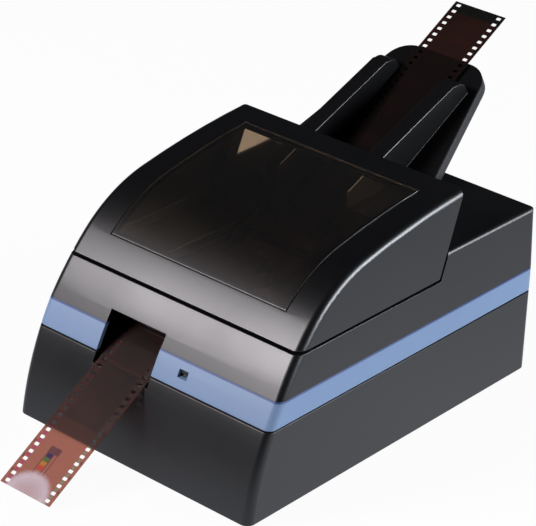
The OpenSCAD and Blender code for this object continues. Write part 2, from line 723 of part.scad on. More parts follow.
// The strip that leaves: arc length s runs from the start of the bend, and is negative down the slope
exit_pitches = floor((exit_len + (slope_y0 - sill_y) / cos(exit_a)) / perf_pitch);
exit_bend_l = bend_r * exit_a * PI / 180;
tail_y = gate_y + 1;                       // rear end of the strip that leaves
free_y = slope_y0 - exit_pitches * perf_pitch * cos(exit_a);
function exit_place(s) = s < 0 ? [slope_y0 + s * cos(exit_a), film_z(slope_y0) + s * sin(exit_a), exit_a]
    : s < exit_bend_l ? let (a = exit_a - s / bend_r * 180 / PI)
        [flat_y0 - bend_r * sin(a), z_gate - bend_r * (1 - cos(a)), a]
    : [flat_y0 + s - exit_bend_l, z_gate, 0];
module scanned_film() color([0.75, 0.42, 0.32])
    difference() {
        side_plane(film_x - film_w / 2, film_x + film_w / 2)
            polygon(path_band(free_y, tail_y, -film_half, film_half));
        for (side = [-1, 1], i = [-exit_pitches:floor((tail_y - flat_y0 + exit_bend_l) / perf_pitch) - 1])
            let (p = exit_place((i + 0.5) * perf_pitch))
                translate([film_x + side * (film_w / 2 - perf_in), p.x, p.y]) rotate([p.z, 0, 0])
                    cube([perf_w, perf_l, 8 * film_t], center = true);
    }

// ================= chassis =================
module base_plate() color([0.72, 0.73, 0.75])
    difference() {
        union() {
            block(left_x - flange - 1, right_x + flange + 1, plate_y0, plate_y1, base_z, base_top);
            for (p = stand_places) post(p.x, p.y, 2.5, base_top, base_top + stand_h);
        }
        for (p = base_posts) post(p.x, p.y, screw_r + 0.2, base_z - 1, base_top + 1);
        for (p = stand_places) post(p.x, p.y, stand_screw_r, base_z - 1, base_top + stand_h + 1);
    }

plate_outline = [
    [plate_y0, base_top], [plate_y1, base_top], [plate_y1, plate_low + 10], [pick_c.x - 12, plate_low + 10],
    [slope_y1 - 10, z_gate + 10], [exit_c.x - 9, z_gate + 10], [plate_y0, film_z(plate_y0) + 3]];
shaft_cs = [entry_c, exit_c, pick_c];

module side_plate(x0, x1, fx0, fx1) difference() {
    union() {
        side_plane(x0, x1) polygon(plate_outline);
        block(fx0, fx1, plate_y0, plate_y1, base_top, base_top + steel_t);
    }
    for (c = shaft_cs) bar(c, bush_r, x0 - 1, x1 + 1);
    for (p = base_posts) post(p.x, p.y, screw_r + 0.2, base_z, base_top + 2 * steel_t);
}

module left_side_plate() color([0.72, 0.73, 0.75])
    side_plate(left_x - steel_t, left_x, left_x - flange, left_x);

stud_r = 2;
motor_ear = 16;                            // from the motor's axis to its fixing screws
motor_screw_r = 1.2;
cable_y0 = gate_y + 7.5;
cable_y1 = cable_y0 + 6;
module right_side_plate() color([0.72, 0.73, 0.75])
    difference() {
        side_plate(right_x, right_x + steel_t, right_x, right_x + flange);
        for (c = [gate_c, link_c]) bar(c, stud_r, right_x - 1, right_x + steel_t + 1);
        bar(motor_c, 3, right_x - 1, right_x + steel_t + 1);
        for (s = [-1, 1]) bar(motor_c + [s * motor_ear, 0], motor_screw_r + 0.1, right_x - 1, right_x + steel_t + 1);
        block(right_x - 1, right_x + steel_t + 1, cable_y0 - 1, cable_y1 + 1, base_top + steel_t, base_top + 9);
    }

module plate_screws() color([0.7, 0.7, 0.72])
    for (p = base_posts) mirror([0, 0, 1])
        screw(p.x, p.y, -(base_top + steel_t), screw_r - thread_fit, base_top + steel_t - z_floor - 0.5, head_r, head_h);

module shaft_bushings() color([0.9, 0.88, 0.8])
    for (c = shaft_cs, side = [-1, 1]) {
        x0 = side < 0 ? left_x - steel_t : right_x;
        difference() {
            union() {
                bar(c, bush_r, x0, x0 + steel_t);
                bar(c, flange_r, side < 0 ? left_x : right_x - flange_t, side < 0 ? left_x + flange_t : right_x);
            }
            bar(c, shaft_r + run_fit, left_x - 5, right_x + 5);
        }
    }

// ================= film guides =================
bed_t = 1.6;
bed_y0 = curve_y(slot_z0, wall) + 1;
bed_y1 = rail_y0 - 1.5;
cover_gap = 1.2;
cover_t = 1.6;
cover_y0 = gate_y - roller_span / 2 - 12;
cover_y1 = slope_y1 - 2;
roller_room = 0.8;
flag_past = 14;                            // from the entry roller to the flag's pivot
flag_h = 7;                                // height of the pivot over the film
flag_c = off_film(gate_y + roller_span / 2 + flag_past, flag_h);
flag_pin_r = 1.2;
flag_reach = 9.5;                          // from the flag's pivot to its tip
flag_ear_x = 2;                            // inner face of the flag's ears
module flag_slot() block(film_x - flag_ear_x, film_x + flag_ear_x, flag_c.x - flag_reach, flag_c.x + 2.5,
    z_gate - 10, z_gate + 20);

module roller_room_cut(c, x0, x1, r) block(film_x + x0 - roller_room, film_x + x1 + roller_room,
    c.x - r - roller_room, c.x + r + roller_room, z_gate - 20, z_gate + 30);

module film_bed() color([0.2, 0.2, 0.21])
    difference() {
        side_plane(left_x, right_x) polygon(path_band(bed_y0, bed_y1, -under_film - bed_t, -under_film));
        block(film_x - gate_w / 2, film_x + gate_w / 2, gate_y - gate_l / 2, gate_y + gate_l / 2,
            z_gate - 10, z_gate + 10);
        for (c = [entry_c, exit_c], side = [-1, 1])
            roller_room_cut(c, side * tyre_x - tyre_w / 2, side * tyre_x + tyre_w / 2, roller_r);
        roller_room_cut(pick_c - [roller_r * 0.5, 0], -pick_w / 2, pick_w / 2, roller_r);
        flag_slot();
        for (c = shaft_cs, x = [left_x, right_x])
            bar(c, flange_r + film_gap, x - flange_t - film_gap, x + flange_t + film_gap);
        block(left_x - 1, film_x - slot_w / 2 + 0.5, -reach, plate_y0, 0, reach);
        block(film_x + slot_w / 2 - 0.5, right_x + 1, -reach, plate_y0, 0, reach);
    }

ear_w = 2;
pinch_ear_x = film_w / 2 + 2.5;            // inner face of the pinch ears
flag_ear_w = 1.6;

// Two ears on the cover that carry a journal of radius r
module cover_ears(c, x, w, h, r) difference() {
    for (x0 = [x, -x - w])
        block(film_x + x0, film_x + x0 + w, c.x - 4, c.x + 4, film_z(c.x) + cover_gap + 0.5, c.y + h);
    bar(c, r + run_fit, film_x - x - w - 1, film_x + x + w + 1);
}

module gate_cover() color([0.17, 0.17, 0.18]) {
    difference() {
        side_plane(left_x, right_x) polygon(path_band(cover_y0, cover_y1, cover_gap, cover_gap + cover_t));
        block(film_x - gate_w / 2, film_x + gate_w / 2, gate_y - gate_l / 2, gate_y + gate_l / 2,
            z_gate - 10, z_gate + 10);
        for (c = [entry_pinch_c, exit_pinch_c], side = [-1, 1])
            roller_room_cut(c, side * tyre_x - tyre_w / 2, side * tyre_x + tyre_w / 2, pinch_r);
        for (c = [entry_pinch_c, exit_pinch_c])
            block(film_x - tyre_x, film_x + tyre_x, c.x - pinch_shaft_r - 1, c.x + pinch_shaft_r + 1, z_gate, z_gate + 12);
        flag_slot();
    }
    for (c = [entry_pinch_c, exit_pinch_c]) cover_ears(c, pinch_ear_x, ear_w, 3, pinch_shaft_r);
    cover_ears(flag_c, flag_ear_x, flag_ear_w, 2.5, flag_pin_r);
}

pick_u = (slope_y1 + pick_past - inlet_y) / cos(tray_a);
module separator_bar() color([0.72, 0.73, 0.75])
    on_slope() translate([-plate_x, pick_u - 4, under_film + 3.2]) cube([2 * plate_x, 8, 2.4]);

module separator_pad() color([0.3, 0.28, 0.26])
    on_slope() translate([-pick_w / 2, pick_u - 4, under_film]) cube([pick_w, 8, 3.2]);

// ================= rollers =================
module roller_shaft(c, hubs) color([0.78, 0.78, 0.8]) {
    bar(c, shaft_r, left_x - steel_t - 2, gear_end + 1);
    for (h = hubs) difference() {
        bar(c, hub_r, film_x + h.x, film_x + h.y);
        bar(c, shaft_r, left_x, right_x);
    }
}
module tyre(c, x0, x1) color([0.15, 0.15, 0.15]) difference() {
    bar(c, roller_r, film_x + x0, film_x + x1);
    bar(c, hub_r, left_x, right_x);
}
edge_hubs = [[-tyre_x - tyre_w / 2, -tyre_x + tyre_w / 2], [tyre_x - tyre_w / 2, tyre_x + tyre_w / 2]];
pick_hub = [[-pick_w / 2, pick_w / 2]];

module pick_shaft() roller_shaft(pick_c, pick_hub);
module pick_tyre() for (h = pick_hub) tyre(pick_c, h.x, h.y);
module entry_shaft() roller_shaft(entry_c, edge_hubs);
module entry_tyres() for (h = edge_hubs) tyre(entry_c, h.x, h.y);
module exit_shaft() roller_shaft(exit_c, edge_hubs);
module exit_tyres() for (h = edge_hubs) tyre(exit_c, h.x, h.y);

module pinch_roller(c) color([0.6, 0.6, 0.62]) {
    bar(c, pinch_shaft_r, film_x - pinch_ear_x - ear_w - 0.8, film_x + pinch_ear_x + ear_w + 0.8);
    for (h = edge_hubs) bar(c, pinch_r, film_x + h.x, film_x + h.y);
}
module entry_pinch() pinch_roller(entry_pinch_c);
module exit_pinch() pinch_roller(exit_pinch_c);

// Leaf springs that bear on the pinch journals from above
leaf_t = 0.3;
leaf_gap = 0.2;
module pinch_springs() color([0.8, 0.8, 0.82])
    for (c = [entry_pinch_c, exit_pinch_c], side = [-1, 1])
        let (x = film_x + side * (pinch_ear_x - 1.5), dir = c.x > gate_y ? 1 : -1, low = cover_gap + cover_t + 0.05,
            foot_y = c.x + dir * 8, top = c.y + pinch_shaft_r + leaf_gap)
            side_plane(x - 1, x + 1) polygon([
                off_film(foot_y, low), off_film(foot_y + dir * 3, low), off_film(foot_y + dir * 3, low + leaf_t),
                off_film(foot_y + dir * leaf_t, low + leaf_t), [foot_y - dir * 3, top + leaf_t],
                [c.x - dir * 2, top + leaf_t], [c.x - dir * 2, top], [foot_y - dir * 3.1, top]]);

// ================= gears =================
pressure = 20;
backlash = 0.12;                           // thinning of each tooth at the pitch line
flank_n = 4;
function involute(a) = tan(a) * 180 / PI - a;
function tooth_half(r, n) = let (rb = gear_m * n * cos(pressure) / 2, rr = max(r, rb))
    90 / n + involute(pressure) - involute(acos(rb / rr)) - backlash / (gear_m * n) * 180 / PI;
function gear_points(n) = let (rp = gear_m * n / 2, ra = rp + 0.9 * gear_m, rf = rp - 1.2 * gear_m)
    [for (i = [0:n - 1], side = [-1, 1], k = [0:flank_n])
        let (f = side < 0 ? k / flank_n : 1 - k / flank_n, r = rf + (ra - rf) * f,
            a = 360 * i / n + side * tooth_half(r, n)) r * [cos(a), sin(a)]];
module gear(c, turn, n, bore) translate([gear_x, c.x, c.y]) rotate([90, 0, 90]) linear_extrude(gear_w)
    difference() {
        rotate(turn) polygon(gear_points(n));
        circle(r = bore);
    }

module pick_gear() color([0.85, 0.84, 0.78]) gear(pick_c, pick_turn, roller_teeth, shaft_r);
module entry_gear() color([0.85, 0.84, 0.78]) gear(entry_c, entry_turn, roller_teeth, shaft_r);
module exit_gear() color([0.85, 0.84, 0.78]) gear(exit_c, exit_turn, roller_teeth, shaft_r);
module gate_gear() color([0.9, 0.9, 0.86]) gear(gate_c, gate_turn, gate_teeth, stud_r + run_fit);
module link_gear() color([0.85, 0.84, 0.78]) gear(link_c, link_turn, link_teeth, stud_r + run_fit);
module gear_studs() color([0.78, 0.78, 0.8])
    for (c = [gate_c, link_c]) {
        bar(c, stud_r, right_x, gear_end + 1.5);
        bar(c, stud_r + 1.2, right_x + steel_t, gear_x - 0.3);
        bar(c, stud_r + 1.2, gear_end + 0.3, gear_end + 1.5);
    }

motor_shaft_r = 1;
module motor_can() color([0.75, 0.76, 0.78])
    difference() {
        union() {
            bar(motor_c, motor_r, right_x - motor_l, right_x);
            side_plane(right_x - 1, right_x) difference() {
                translate(motor_c) square([2 * motor_ear + 6, 8], center = true);
                for (s = [-1, 1]) translate(motor_c + [s * motor_ear, 0]) circle(r = motor_screw_r);
            }
        }
        bar(motor_c, motor_shaft_r + run_fit, right_x - motor_l + 2, right_x + 1);
    }
module motor_pinion() color([0.83, 0.72, 0.4]) {
    bar(motor_c, motor_shaft_r, right_x - motor_l + 2.2, gear_end + 0.5);
    gear(motor_c, pinion_turn, pinion_teeth, motor_shaft_r);
}
module motor_screws() color([0.7, 0.7, 0.72])
    for (s = [-1, 1]) {
        c = motor_c + [s * motor_ear, 0];
        bar(c, motor_screw_r - thread_fit, right_x - 2.5, right_x + steel_t);
        bar(c, 2.2, right_x + steel_t, right_x + steel_t + 1.2);
    }

// ================= film sensing =================
fork_x = 7.2;                              // middle of the sensor's fork beside the film's centre
fork_gap = 1.8;
fork_w = 5.6;
blade_l = 5.5;
module film_flag() color([0.1, 0.1, 0.1]) {
    bar(flag_c, flag_pin_r, film_x - flag_ear_x - flag_ear_w - 0.6, film_x + fork_x + 0.5);
    difference() {
        side_plane(film_x - 1.2, film_x + 1.2) polygon([
            flag_c + [-1.5, 2], flag_c + [1.5, 2], flag_c + [1.5, -flag_reach + 2],
            flag_c + [0.5, -flag_reach], flag_c + [-0.5, -flag_reach], flag_c + [-1.5, -flag_reach + 2]]);
        bar(flag_c, flag_pin_r, film_x - 5, film_x + 5);
    }
    translate([film_x + fork_x - 0.5, flag_c.x, flag_c.y]) rotate([film_lean(flag_c.x - 3), 0, 0])
        translate([0, -blade_l, -flag_pin_r]) cube([1, blade_l, 2 * flag_pin_r]);
}
module flag_sensor() color([0.12, 0.12, 0.12]) {
    low = cover_gap + cover_t + 0.05;
    y0 = flag_c.x - 8.5;
    y1 = flag_c.x - 2.2;
    x = film_x + fork_x;
    difference() {
        side_plane(x - fork_w / 2, x + fork_w / 2) polygon(path_band(y0, y1, low, low + 6.5));
        side_plane(x - fork_gap / 2, x + fork_gap / 2) polygon(path_band(y0 - 1, y1 + 1, low + 2.2, low + 8));
    }
}

// ================= optics =================
light_half_x = 19.5;
light_half_y = 22;
light_z = z_gate + cover_gap + cover_t;
light_wall = 1.5;
module backlight_housing() color([0.14, 0.14, 0.15])
    difference() {
        block(film_x - light_half_x, film_x + light_half_x, gate_y - light_half_y, gate_y + light_half_y,
            light_z, light_z + light_h);
        block(film_x - light_half_x + light_wall, film_x + light_half_x - light_wall,
            gate_y - light_half_y + light_wall, gate_y + light_half_y - light_wall, light_z - 1, light_z + light_h - 1.5);
    }
module backlight_diffuser() color([0.95, 0.95, 0.93])
    block(film_x - light_half_x + light_wall, film_x + light_half_x - light_wall,
        gate_y - light_half_y + light_wall, gate_y + light_half_y - light_wall, light_z + 1.5, light_z + 3.5);
module backlight_board() color([0.1, 0.35, 0.2]) {
    top = light_z + light_h - 1.5;
    block(film_x - light_half_x + light_wall, film_x + light_half_x - light_wall,
        gate_y - light_half_y + light_wall, gate_y + light_half_y - light_wall, top - board_t, top);
    for (i = [-1:1], j = [-1:1])
        block(film_x + i * 9 - 1.5, film_x + i * 9 + 1.5, gate_y + j * 11 - 1.5, gate_y + j * 11 + 1.5,
            top - board_t - 1, top - board_t);
}

holder_x = 8.5;
holder_y = 13;
module lens_holder() color([0.1, 0.1, 0.11])
    difference() {
        block(film_x - holder_x, film_x + holder_x, gate_y - holder_y, gate_y + holder_y,
            sensor_top, sensor_top + holder_h);
        block(film_x - holder_x + 1, film_x + holder_x - 1, gate_y - holder_y + 1.5, gate_y + holder_y - 1.5,
            sensor_top - 1, sensor_top + holder_h - 5);
        post(film_x, gate_y, barrel_r, sensor_top, sensor_top + holder_h + 1);
    }
barrel_z = sensor_top + holder_h - 5;
module lens_barrel() color([0.08, 0.08, 0.08])
    difference() {
        post(film_x, gate_y, barrel_r, barrel_z, barrel_z + barrel_l);
        post(film_x, gate_y, barrel_r - 1.5, barrel_z - 1, barrel_z + barrel_l + 1);
    }
module lens_glass() color([0.7, 0.8, 0.85, 0.5]) {
    post(film_x, gate_y, barrel_r - 1.5, barrel_z + 1, barrel_z + 3);
    post(film_x, gate_y, barrel_r - 1.5, barrel_z + barrel_l - 3.5, barrel_z + barrel_l - 1);
}
sensor_board_w = 34;
sensor_board_l = 40;
module sensor_board() color([0.1, 0.35, 0.2])
    difference() {
        block(film_x - sensor_board_w / 2, film_x + sensor_board_w / 2, gate_y - sensor_board_l / 2,
            gate_y + sensor_board_l / 2, sensor_top - board_t, sensor_top);
        for (p = stand_places) post(p.x, p.y, stand_screw_r + 0.2, sensor_top - 2 * board_t, sensor_top + 1);
    }
module image_sensor() color([0.25, 0.25, 0.3])
    block(film_x - 6, film_x + 6, gate_y - 9, gate_y + 9, sensor_top, sensor_top + 1.8);

// Flat ribbon from the sensor board to the main board
cable_t = 0.4;
cable_x0 = film_x + 10.5;
module sensor_cable() color([0.9, 0.9, 0.88])
    translate([0, cable_y1, 0]) rotate([90, 0, 0]) linear_extrude(cable_y1 - cable_y0) polygon([
        [cable_x0, sensor_top], [cable_x0 + 9, sensor_top], [cable_x0 + 12, sensor_top + 2],
        [board_x0 - 2, sensor_top + 2], [board_x0 + 1, board_top], [board_x0 + 9, board_top],
        [board_x0 + 9, board_top + cable_t], [board_x0 + 0.8, board_top + cable_t],
        [board_x0 - 2, sensor_top + 2 + cable_t], [cable_x0 + 11.8, sensor_top + 2 + cable_t],
        [cable_x0 + 8.8, sensor_top + cable_t], [cable_x0, sensor_top + cable_t]]);

// ================= electronics =================
module main_board() color([0.1, 0.35, 0.2])
    difference() {
        block(board_x0, board_x1, board_y0, board_y1, board_bottom, board_top);
        for (p = board_posts) post(p.x, p.y, screw_r + 0.2, board_bottom - 1, board_top + 1);
    }
board_mid = (board_x0 + board_x1) / 2;
processor_w = 20;
memory_w = 10;
memory_l = 14;
header_w = 14;                             // header beside the ribbon
capacitor_r = 4;
chip_gap = 4;                              // between the rows of parts
header_l = 5;
header_y = board_y0 + 14;
row_gap = 16;                              // from the header's middle to the processor's
processor_y = header_y + row_gap;
memory_y = processor_y + processor_w + 2 * chip_gap;
capacitor_y = memory_y + memory_l + 2 * chip_gap + 1.5 * capacitor_r;
// A part on the main board, centred at x, its front edge at y
module chip(x, y, lx, ly, h) block(x - lx / 2, x + lx / 2, y, y + ly, board_top, board_top + h);
module board_chips() color([0.08, 0.08, 0.09]) {
    chip(board_mid, header_y, header_w, header_l, 4);
    chip(board_mid, processor_y, processor_w, processor_w, 1.6);
    for (side = [-1, 1]) chip(board_mid + side * (memory_w + chip_gap) / 2, memory_y, memory_w, memory_l, 1.4);
    for (i = [-1:1])
        post(board_mid + i * (2 * capacitor_r + 2), capacitor_y, capacitor_r, board_top, board_top + 10);
}
module board_screws() color([0.7, 0.7, 0.72]) {
    for (p = board_posts) mirror([0, 0, 1])
        screw(p.x, p.y, -board_top, screw_r - thread_fit, board_t + 4, head_r, head_h);
    for (p = stand_places) mirror([0, 0, 1])
        screw(p.x, p.y, -sensor_top, stand_screw_r - thread_fit, board_t + stand_h, 1.9, 1.4);
}
module usb_socket() color([0.75, 0.76, 0.78])
    difference() {
        block(usb_x - usb_w / 2, usb_x + usb_w / 2, board_y1 - 10, y_back - 0.3, board_top, board_top + usb_h);
        difference() {
            block(usb_x - usb_w / 2 + 1, usb_x + usb_w / 2 - 1, board_y1 - 2, y_back + 1,
                board_top + 1, board_top + usb_h - 1);
            block(usb_x - 2.8, usb_x + 2.8, board_y1 - 3, y_back - 1.5, board_top + 3.8, board_top + 7.2);
        }
    }
module power_jack() color([0.1, 0.1, 0.1])
    difference() {
        union() {
            block(jack_x - 4.5, jack_x + 4.5, board_y1 - 9, y_back - wall - 0.3, board_top, board_top + 11);
            translate([jack_x, y_back - 0.3, jack_z]) rotate([90, 0, 0]) cylinder(r = jack_r, h = wall + 1);
        }
        translate([jack_x, y_back + 1, jack_z]) rotate([90, 0, 0]) difference() {
            cylinder(r = 2.75, h = 11);
            translate([0, 0, 2]) cylinder(r = 1, h = 12);
        }
    }

rocker_tilt = 9;
rocker_pin_r = 1;
rocker_c = [y_back - 1.5, sw_z];
module switch_body() color([0.1, 0.1, 0.1])
    difference() {
        union() {
            block(switch_x - switch_w / 2, switch_x + switch_w / 2, y_back - 13, y_back,
                sw_z - switch_h / 2, sw_z + switch_h / 2);
            block(switch_x - switch_w / 2 - 1, switch_x + switch_w / 2 + 1, y_back, y_back + 1,
                sw_z - switch_h / 2 - 1, sw_z + switch_h / 2 + 1);
        }
        block(switch_x - switch_w / 2 + 1.5, switch_x + switch_w / 2 - 1.5, y_back - 7, y_back + 2,
            sw_z - switch_h / 2 + 1.5, sw_z + switch_h / 2 - 1.5);
        bar(rocker_c, rocker_pin_r + run_fit, switch_x - switch_w / 2 + 0.6, switch_x + switch_w / 2 - 0.6);
    }
module power_rocker() color([0.15, 0.15, 0.15])
    union() {
        bar(rocker_c, rocker_pin_r, switch_x - switch_w / 2 + 0.8, switch_x + switch_w / 2 - 0.8);
        translate([0, rocker_c.x, rocker_c.y]) rotate([rocker_tilt, 0, 0])
            side_plane(switch_x - switch_w / 2 + 1.9, switch_x + switch_w / 2 - 1.9) polygon([
                [-3, -2], [-3, 2], [0, switch_h / 2 - 2.2], [1.9, switch_h / 2 - 2.4], [1.3, 0],
                [1.9, -switch_h / 2 + 2.4], [0, -switch_h / 2 + 2.2]]);
    }

// Light pipe: it fills the hole in the band and bears on the wall behind it by a flange
pipe_gap = 0.2;
pipe_sunk = 1.4;                           // depth of its face in the hole
pipe_rim = 1;                              // width and thickness of the flange
rim_y = curve_y(lamp_z + lamp_h / 2 + pipe_rim, wall) + pipe_gap;
module indicator_lens() color([0.8, 0.8, 0.82, 0.8]) {
    block(lamp_x - lamp_w / 2 + pipe_gap, lamp_x + lamp_w / 2 - pipe_gap, curve_y(lamp_z) + pipe_sunk, rim_y + pipe_rim,
        lamp_z - lamp_h / 2 + pipe_gap, lamp_z + lamp_h / 2 - pipe_gap);
    block(lamp_x - lamp_w / 2 - pipe_rim, lamp_x + lamp_w / 2 + pipe_rim, rim_y, rim_y + pipe_rim,
        lamp_z - lamp_h / 2 - pipe_rim, lamp_z + lamp_h / 2 + pipe_rim);
}
module indicator_board() color([0.1, 0.35, 0.2]) {
    block(lamp_x - 4, lamp_x + 4, lamp_post_y - 0.6, lamp_post_y + 0.6, lamp_z - 9, lamp_z + 5);
    block(lamp_x - 1.5, lamp_x + 1.5, rim_y + pipe_rim, lamp_post_y, lamp_z - 1.5, lamp_z + 1.5);
}

lower_casing();
colour_band();
upper_casing();
lid();
window();
hinge_pins();
lid_bumpers();
feet();
case_screws();
film_hopper();
tray_back();
loaded_film();
scanned_film();
base_plate();
left_side_plate();
right_side_plate();
plate_screws();
film_bed();
gate_cover();
separator_bar();
separator_pad();
shaft_bushings();
pick_shaft();
pick_tyre();
pick_gear();
entry_shaft();
entry_tyres();
entry_gear();
exit_shaft();
exit_tyres();
exit_gear();
entry_pinch();
exit_pinch();
pinch_springs();
gate_gear();
link_gear();
gear_studs();
motor_can();
motor_pinion();
motor_screws();
film_flag();
flag_sensor();
backlight_housing();
backlight_diffuser();
backlight_board();
lens_holder();
lens_barrel();
lens_glass();
sensor_board();
image_sensor();
sensor_cable();
main_board();
board_chips();
board_screws();
usb_socket();
power_jack();
switch_body();
power_rocker();
indicator_lens();
indicator_board();
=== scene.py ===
"""A desktop scanner for 35 mm film strips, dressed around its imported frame.

The pieces come in the order in which the scanner is put together. Lengths are in metres.
"""

import json
import math

import bmesh
import bpy
from mathutils import Matrix, Vector


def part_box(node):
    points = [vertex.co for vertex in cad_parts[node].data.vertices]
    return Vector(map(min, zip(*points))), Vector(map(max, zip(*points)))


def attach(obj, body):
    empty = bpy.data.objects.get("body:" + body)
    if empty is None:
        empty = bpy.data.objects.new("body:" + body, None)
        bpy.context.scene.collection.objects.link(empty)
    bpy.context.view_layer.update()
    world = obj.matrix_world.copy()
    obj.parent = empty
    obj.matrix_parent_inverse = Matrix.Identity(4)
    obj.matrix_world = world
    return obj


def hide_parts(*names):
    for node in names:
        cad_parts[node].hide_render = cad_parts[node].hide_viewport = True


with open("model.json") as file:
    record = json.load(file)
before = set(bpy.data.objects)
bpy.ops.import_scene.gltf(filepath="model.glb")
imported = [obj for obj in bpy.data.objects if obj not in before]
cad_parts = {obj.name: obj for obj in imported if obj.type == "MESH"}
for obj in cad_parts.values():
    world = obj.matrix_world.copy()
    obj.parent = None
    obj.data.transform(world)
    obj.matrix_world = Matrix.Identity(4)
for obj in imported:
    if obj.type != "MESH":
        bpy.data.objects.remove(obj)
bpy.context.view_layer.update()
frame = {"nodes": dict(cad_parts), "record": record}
nodes = frame["nodes"]
bodies = frame["record"]["behaviour"]["bodies"]
scene = bpy.context.scene
MM = 0.001


def new_object(name, data):
    thing = bpy.data.objects.new(name, data)
    scene.collection.objects.link(thing)
    return thing


# ---- Camera ----
# It looks down at the scanner's front right-hand corner with a long lens, and is tipped a little.
camera_round = math.radians(39.77)
camera_above = math.radians(27.17)
camera_tip = math.radians(2.59)
camera_distance = 1386.4 * MM
camera_aim = Vector((0, -7.6, 77.39)) * MM
picture = (536, 526)
focal_pixels = 2635.0
centre_pixel = (283.46, 263.79)

lens = bpy.data.cameras.new("camera")
lens.sensor_width = 36
lens.lens = focal_pixels / picture[0] * lens.sensor_width
lens.shift_x = (picture[0] / 2 - centre_pixel[0]) / picture[0]
lens.shift_y = (centre_pixel[1] - picture[1] / 2) / picture[0]
lens.clip_end = 20
camera = new_object("camera", lens)
turn = (Matrix.Rotation(camera_round, 4, "Z") @ Matrix.Rotation(math.pi / 2 - camera_above, 4, "X")
        @ Matrix.Rotation(camera_tip, 4, "Z"))
camera.matrix_world = Matrix.Translation(camera_aim) @ turn @ Matrix.Translation((0, 0, camera_distance))
scene.camera = camera

# ---- Studio ----
# A pale floor runs to the horizon under two soft lamps: one in front on the left for the curved front, and
# a long one on the right. A third, low on the right, only draws the shine along the right-hand edges.
floor_half = 4.0
paper_tones = (0.86, 0.9)
glow_share = 0.95
mirror_place = (0.09, -0.04, 0)
mirror_near, mirror_far = 0.08, 0.65
mirror_bright, mirror_dim = 1.06, 0.42
mirror_cast = (0.88, 0.91, 1.0, 1)
lamp_distance = 1.6
white = (1, 1, 1, 1)


def put(tree, kind, values=None, **settings):
    """A new node. Each input, by name or number, has a constant, an output to link or a list of those."""
    node = tree.nodes.new(kind)
    for key, value in settings.items():
        setattr(node, key, value)
    for key, value in (values or {}).items():
        for one in value if isinstance(value, list) else [value]:
            if isinstance(one, bpy.types.NodeSocket):
                tree.links.new(one, node.inputs[key])
            else:
                node.inputs[key].default_value = one
    return node


def out(tree, kind, values=None, **settings):
    """The first output of a new node."""
    return put(tree, kind, values, **settings).outputs[0]


def maths(tree, operation, *values):
    return out(tree, "ShaderNodeMath", dict(enumerate(values)), operation=operation)


def product(tree, *values):
    answer = values[0]
    for value in values[1:]:
        answer = maths(tree, "MULTIPLY", answer, value)
    return answer


def ramp(tree, value, low, high, first=0.0, last=1.0, **settings):
    """It runs evenly from first, where the value is low, to last, where it is high."""
    return out(tree, "ShaderNodeMapRange", {0: value, 1: low, 2: high, 3: first, 4: last}, **settings)


def tinted(tree, share, colour, other):
    """The first colour with that share of the other over it."""
    return put(tree, "ShaderNodeMix", {0: share, 6: colour, 7: other}, data_type="RGBA").outputs[2]


def between(tree, vector, other):
    return out(tree, "ShaderNodeVectorMath", {0: vector, 1: other}, operation="SUBTRACT")


def length_of(tree, vector):
    return put(tree, "ShaderNodeVectorMath", {0: vector}, operation="LENGTH").outputs["Value"]


def here(tree):
    """The shaded point, in its piece's own frame."""
    return put(tree, "ShaderNodeTexCoord").outputs["Object"]


def new_material(name):
    material = bpy.data.materials.new(name)
    material.use_nodes = True
    material.node_tree.nodes.clear()
    return material, material.node_tree


def show(tree, shader):
    put(tree, "ShaderNodeOutputMaterial", {"Surface": shader})


def mesh_object(name, mesh, materials):
    mesh.materials.clear()
    for material in materials:
        mesh.materials.append(material)
    return new_object(name, mesh)


floor_material, tree = new_material("studio_floor")
light = put(tree, "ShaderNodeLightPath").outputs
seen = maths(tree, "MAXIMUM", light["Is Camera Ray"], light["Is Glossy Ray"])
seen = maths(tree, "MAXIMUM", seen, light["Is Transmission Ray"])
# Light that a matt surface has scattered doesn't see the glow, so that the glow lights nothing
fresh = maths(tree, "LESS_THAN", light["Diffuse Depth"], 0.5)
paper = out(tree, "ShaderNodeTexNoise", {"Scale": 3.0, "Detail": 2.0})
matt = out(tree, "ShaderNodeBsdfPrincipled", {
    "Base Color": ramp(tree, paper, 0.0, 1.0, *paper_tones), "Roughness": 0.9, "Specular IOR Level": 0.1})
# As the scanner mirrors it, the floor fades with distance from a place beside it and is a little cool
distance = length_of(tree, between(tree, here(tree), mirror_place))
fading = ramp(tree, distance, mirror_near, mirror_far, mirror_bright, mirror_dim)
strength = out(tree, "ShaderNodeMix", {0: light["Is Camera Ray"], 2: fading, 3: 1.0})
cast = tinted(tree, light["Is Camera Ray"], mirror_cast, white)
glow = out(tree, "ShaderNodeEmission", {"Color": cast, "Strength": strength})
show(tree, out(tree, "ShaderNodeMixShader", {0: product(tree, seen, fresh, glow_share), 1: matt, 2: glow}))

floor_mesh = bpy.data.meshes.new("floor")
floor_corners = ((-1, -1), (1, -1), (1, 1), (-1, 1))
floor_mesh.from_pydata([(x * floor_half, y * floor_half, 0) for x, y in floor_corners], [], [(0, 1, 2, 3)])
mesh_object("floor", floor_mesh, [floor_material])

world = bpy.data.worlds.new("studio")
scene.world = world
world.use_nodes = True
background = world.node_tree.nodes["Background"].inputs
background["Color"].default_value = (0.8, 0.88, 1.0, 1)
background["Strength"].default_value = 0.035
scene.view_settings.view_transform = "Standard"


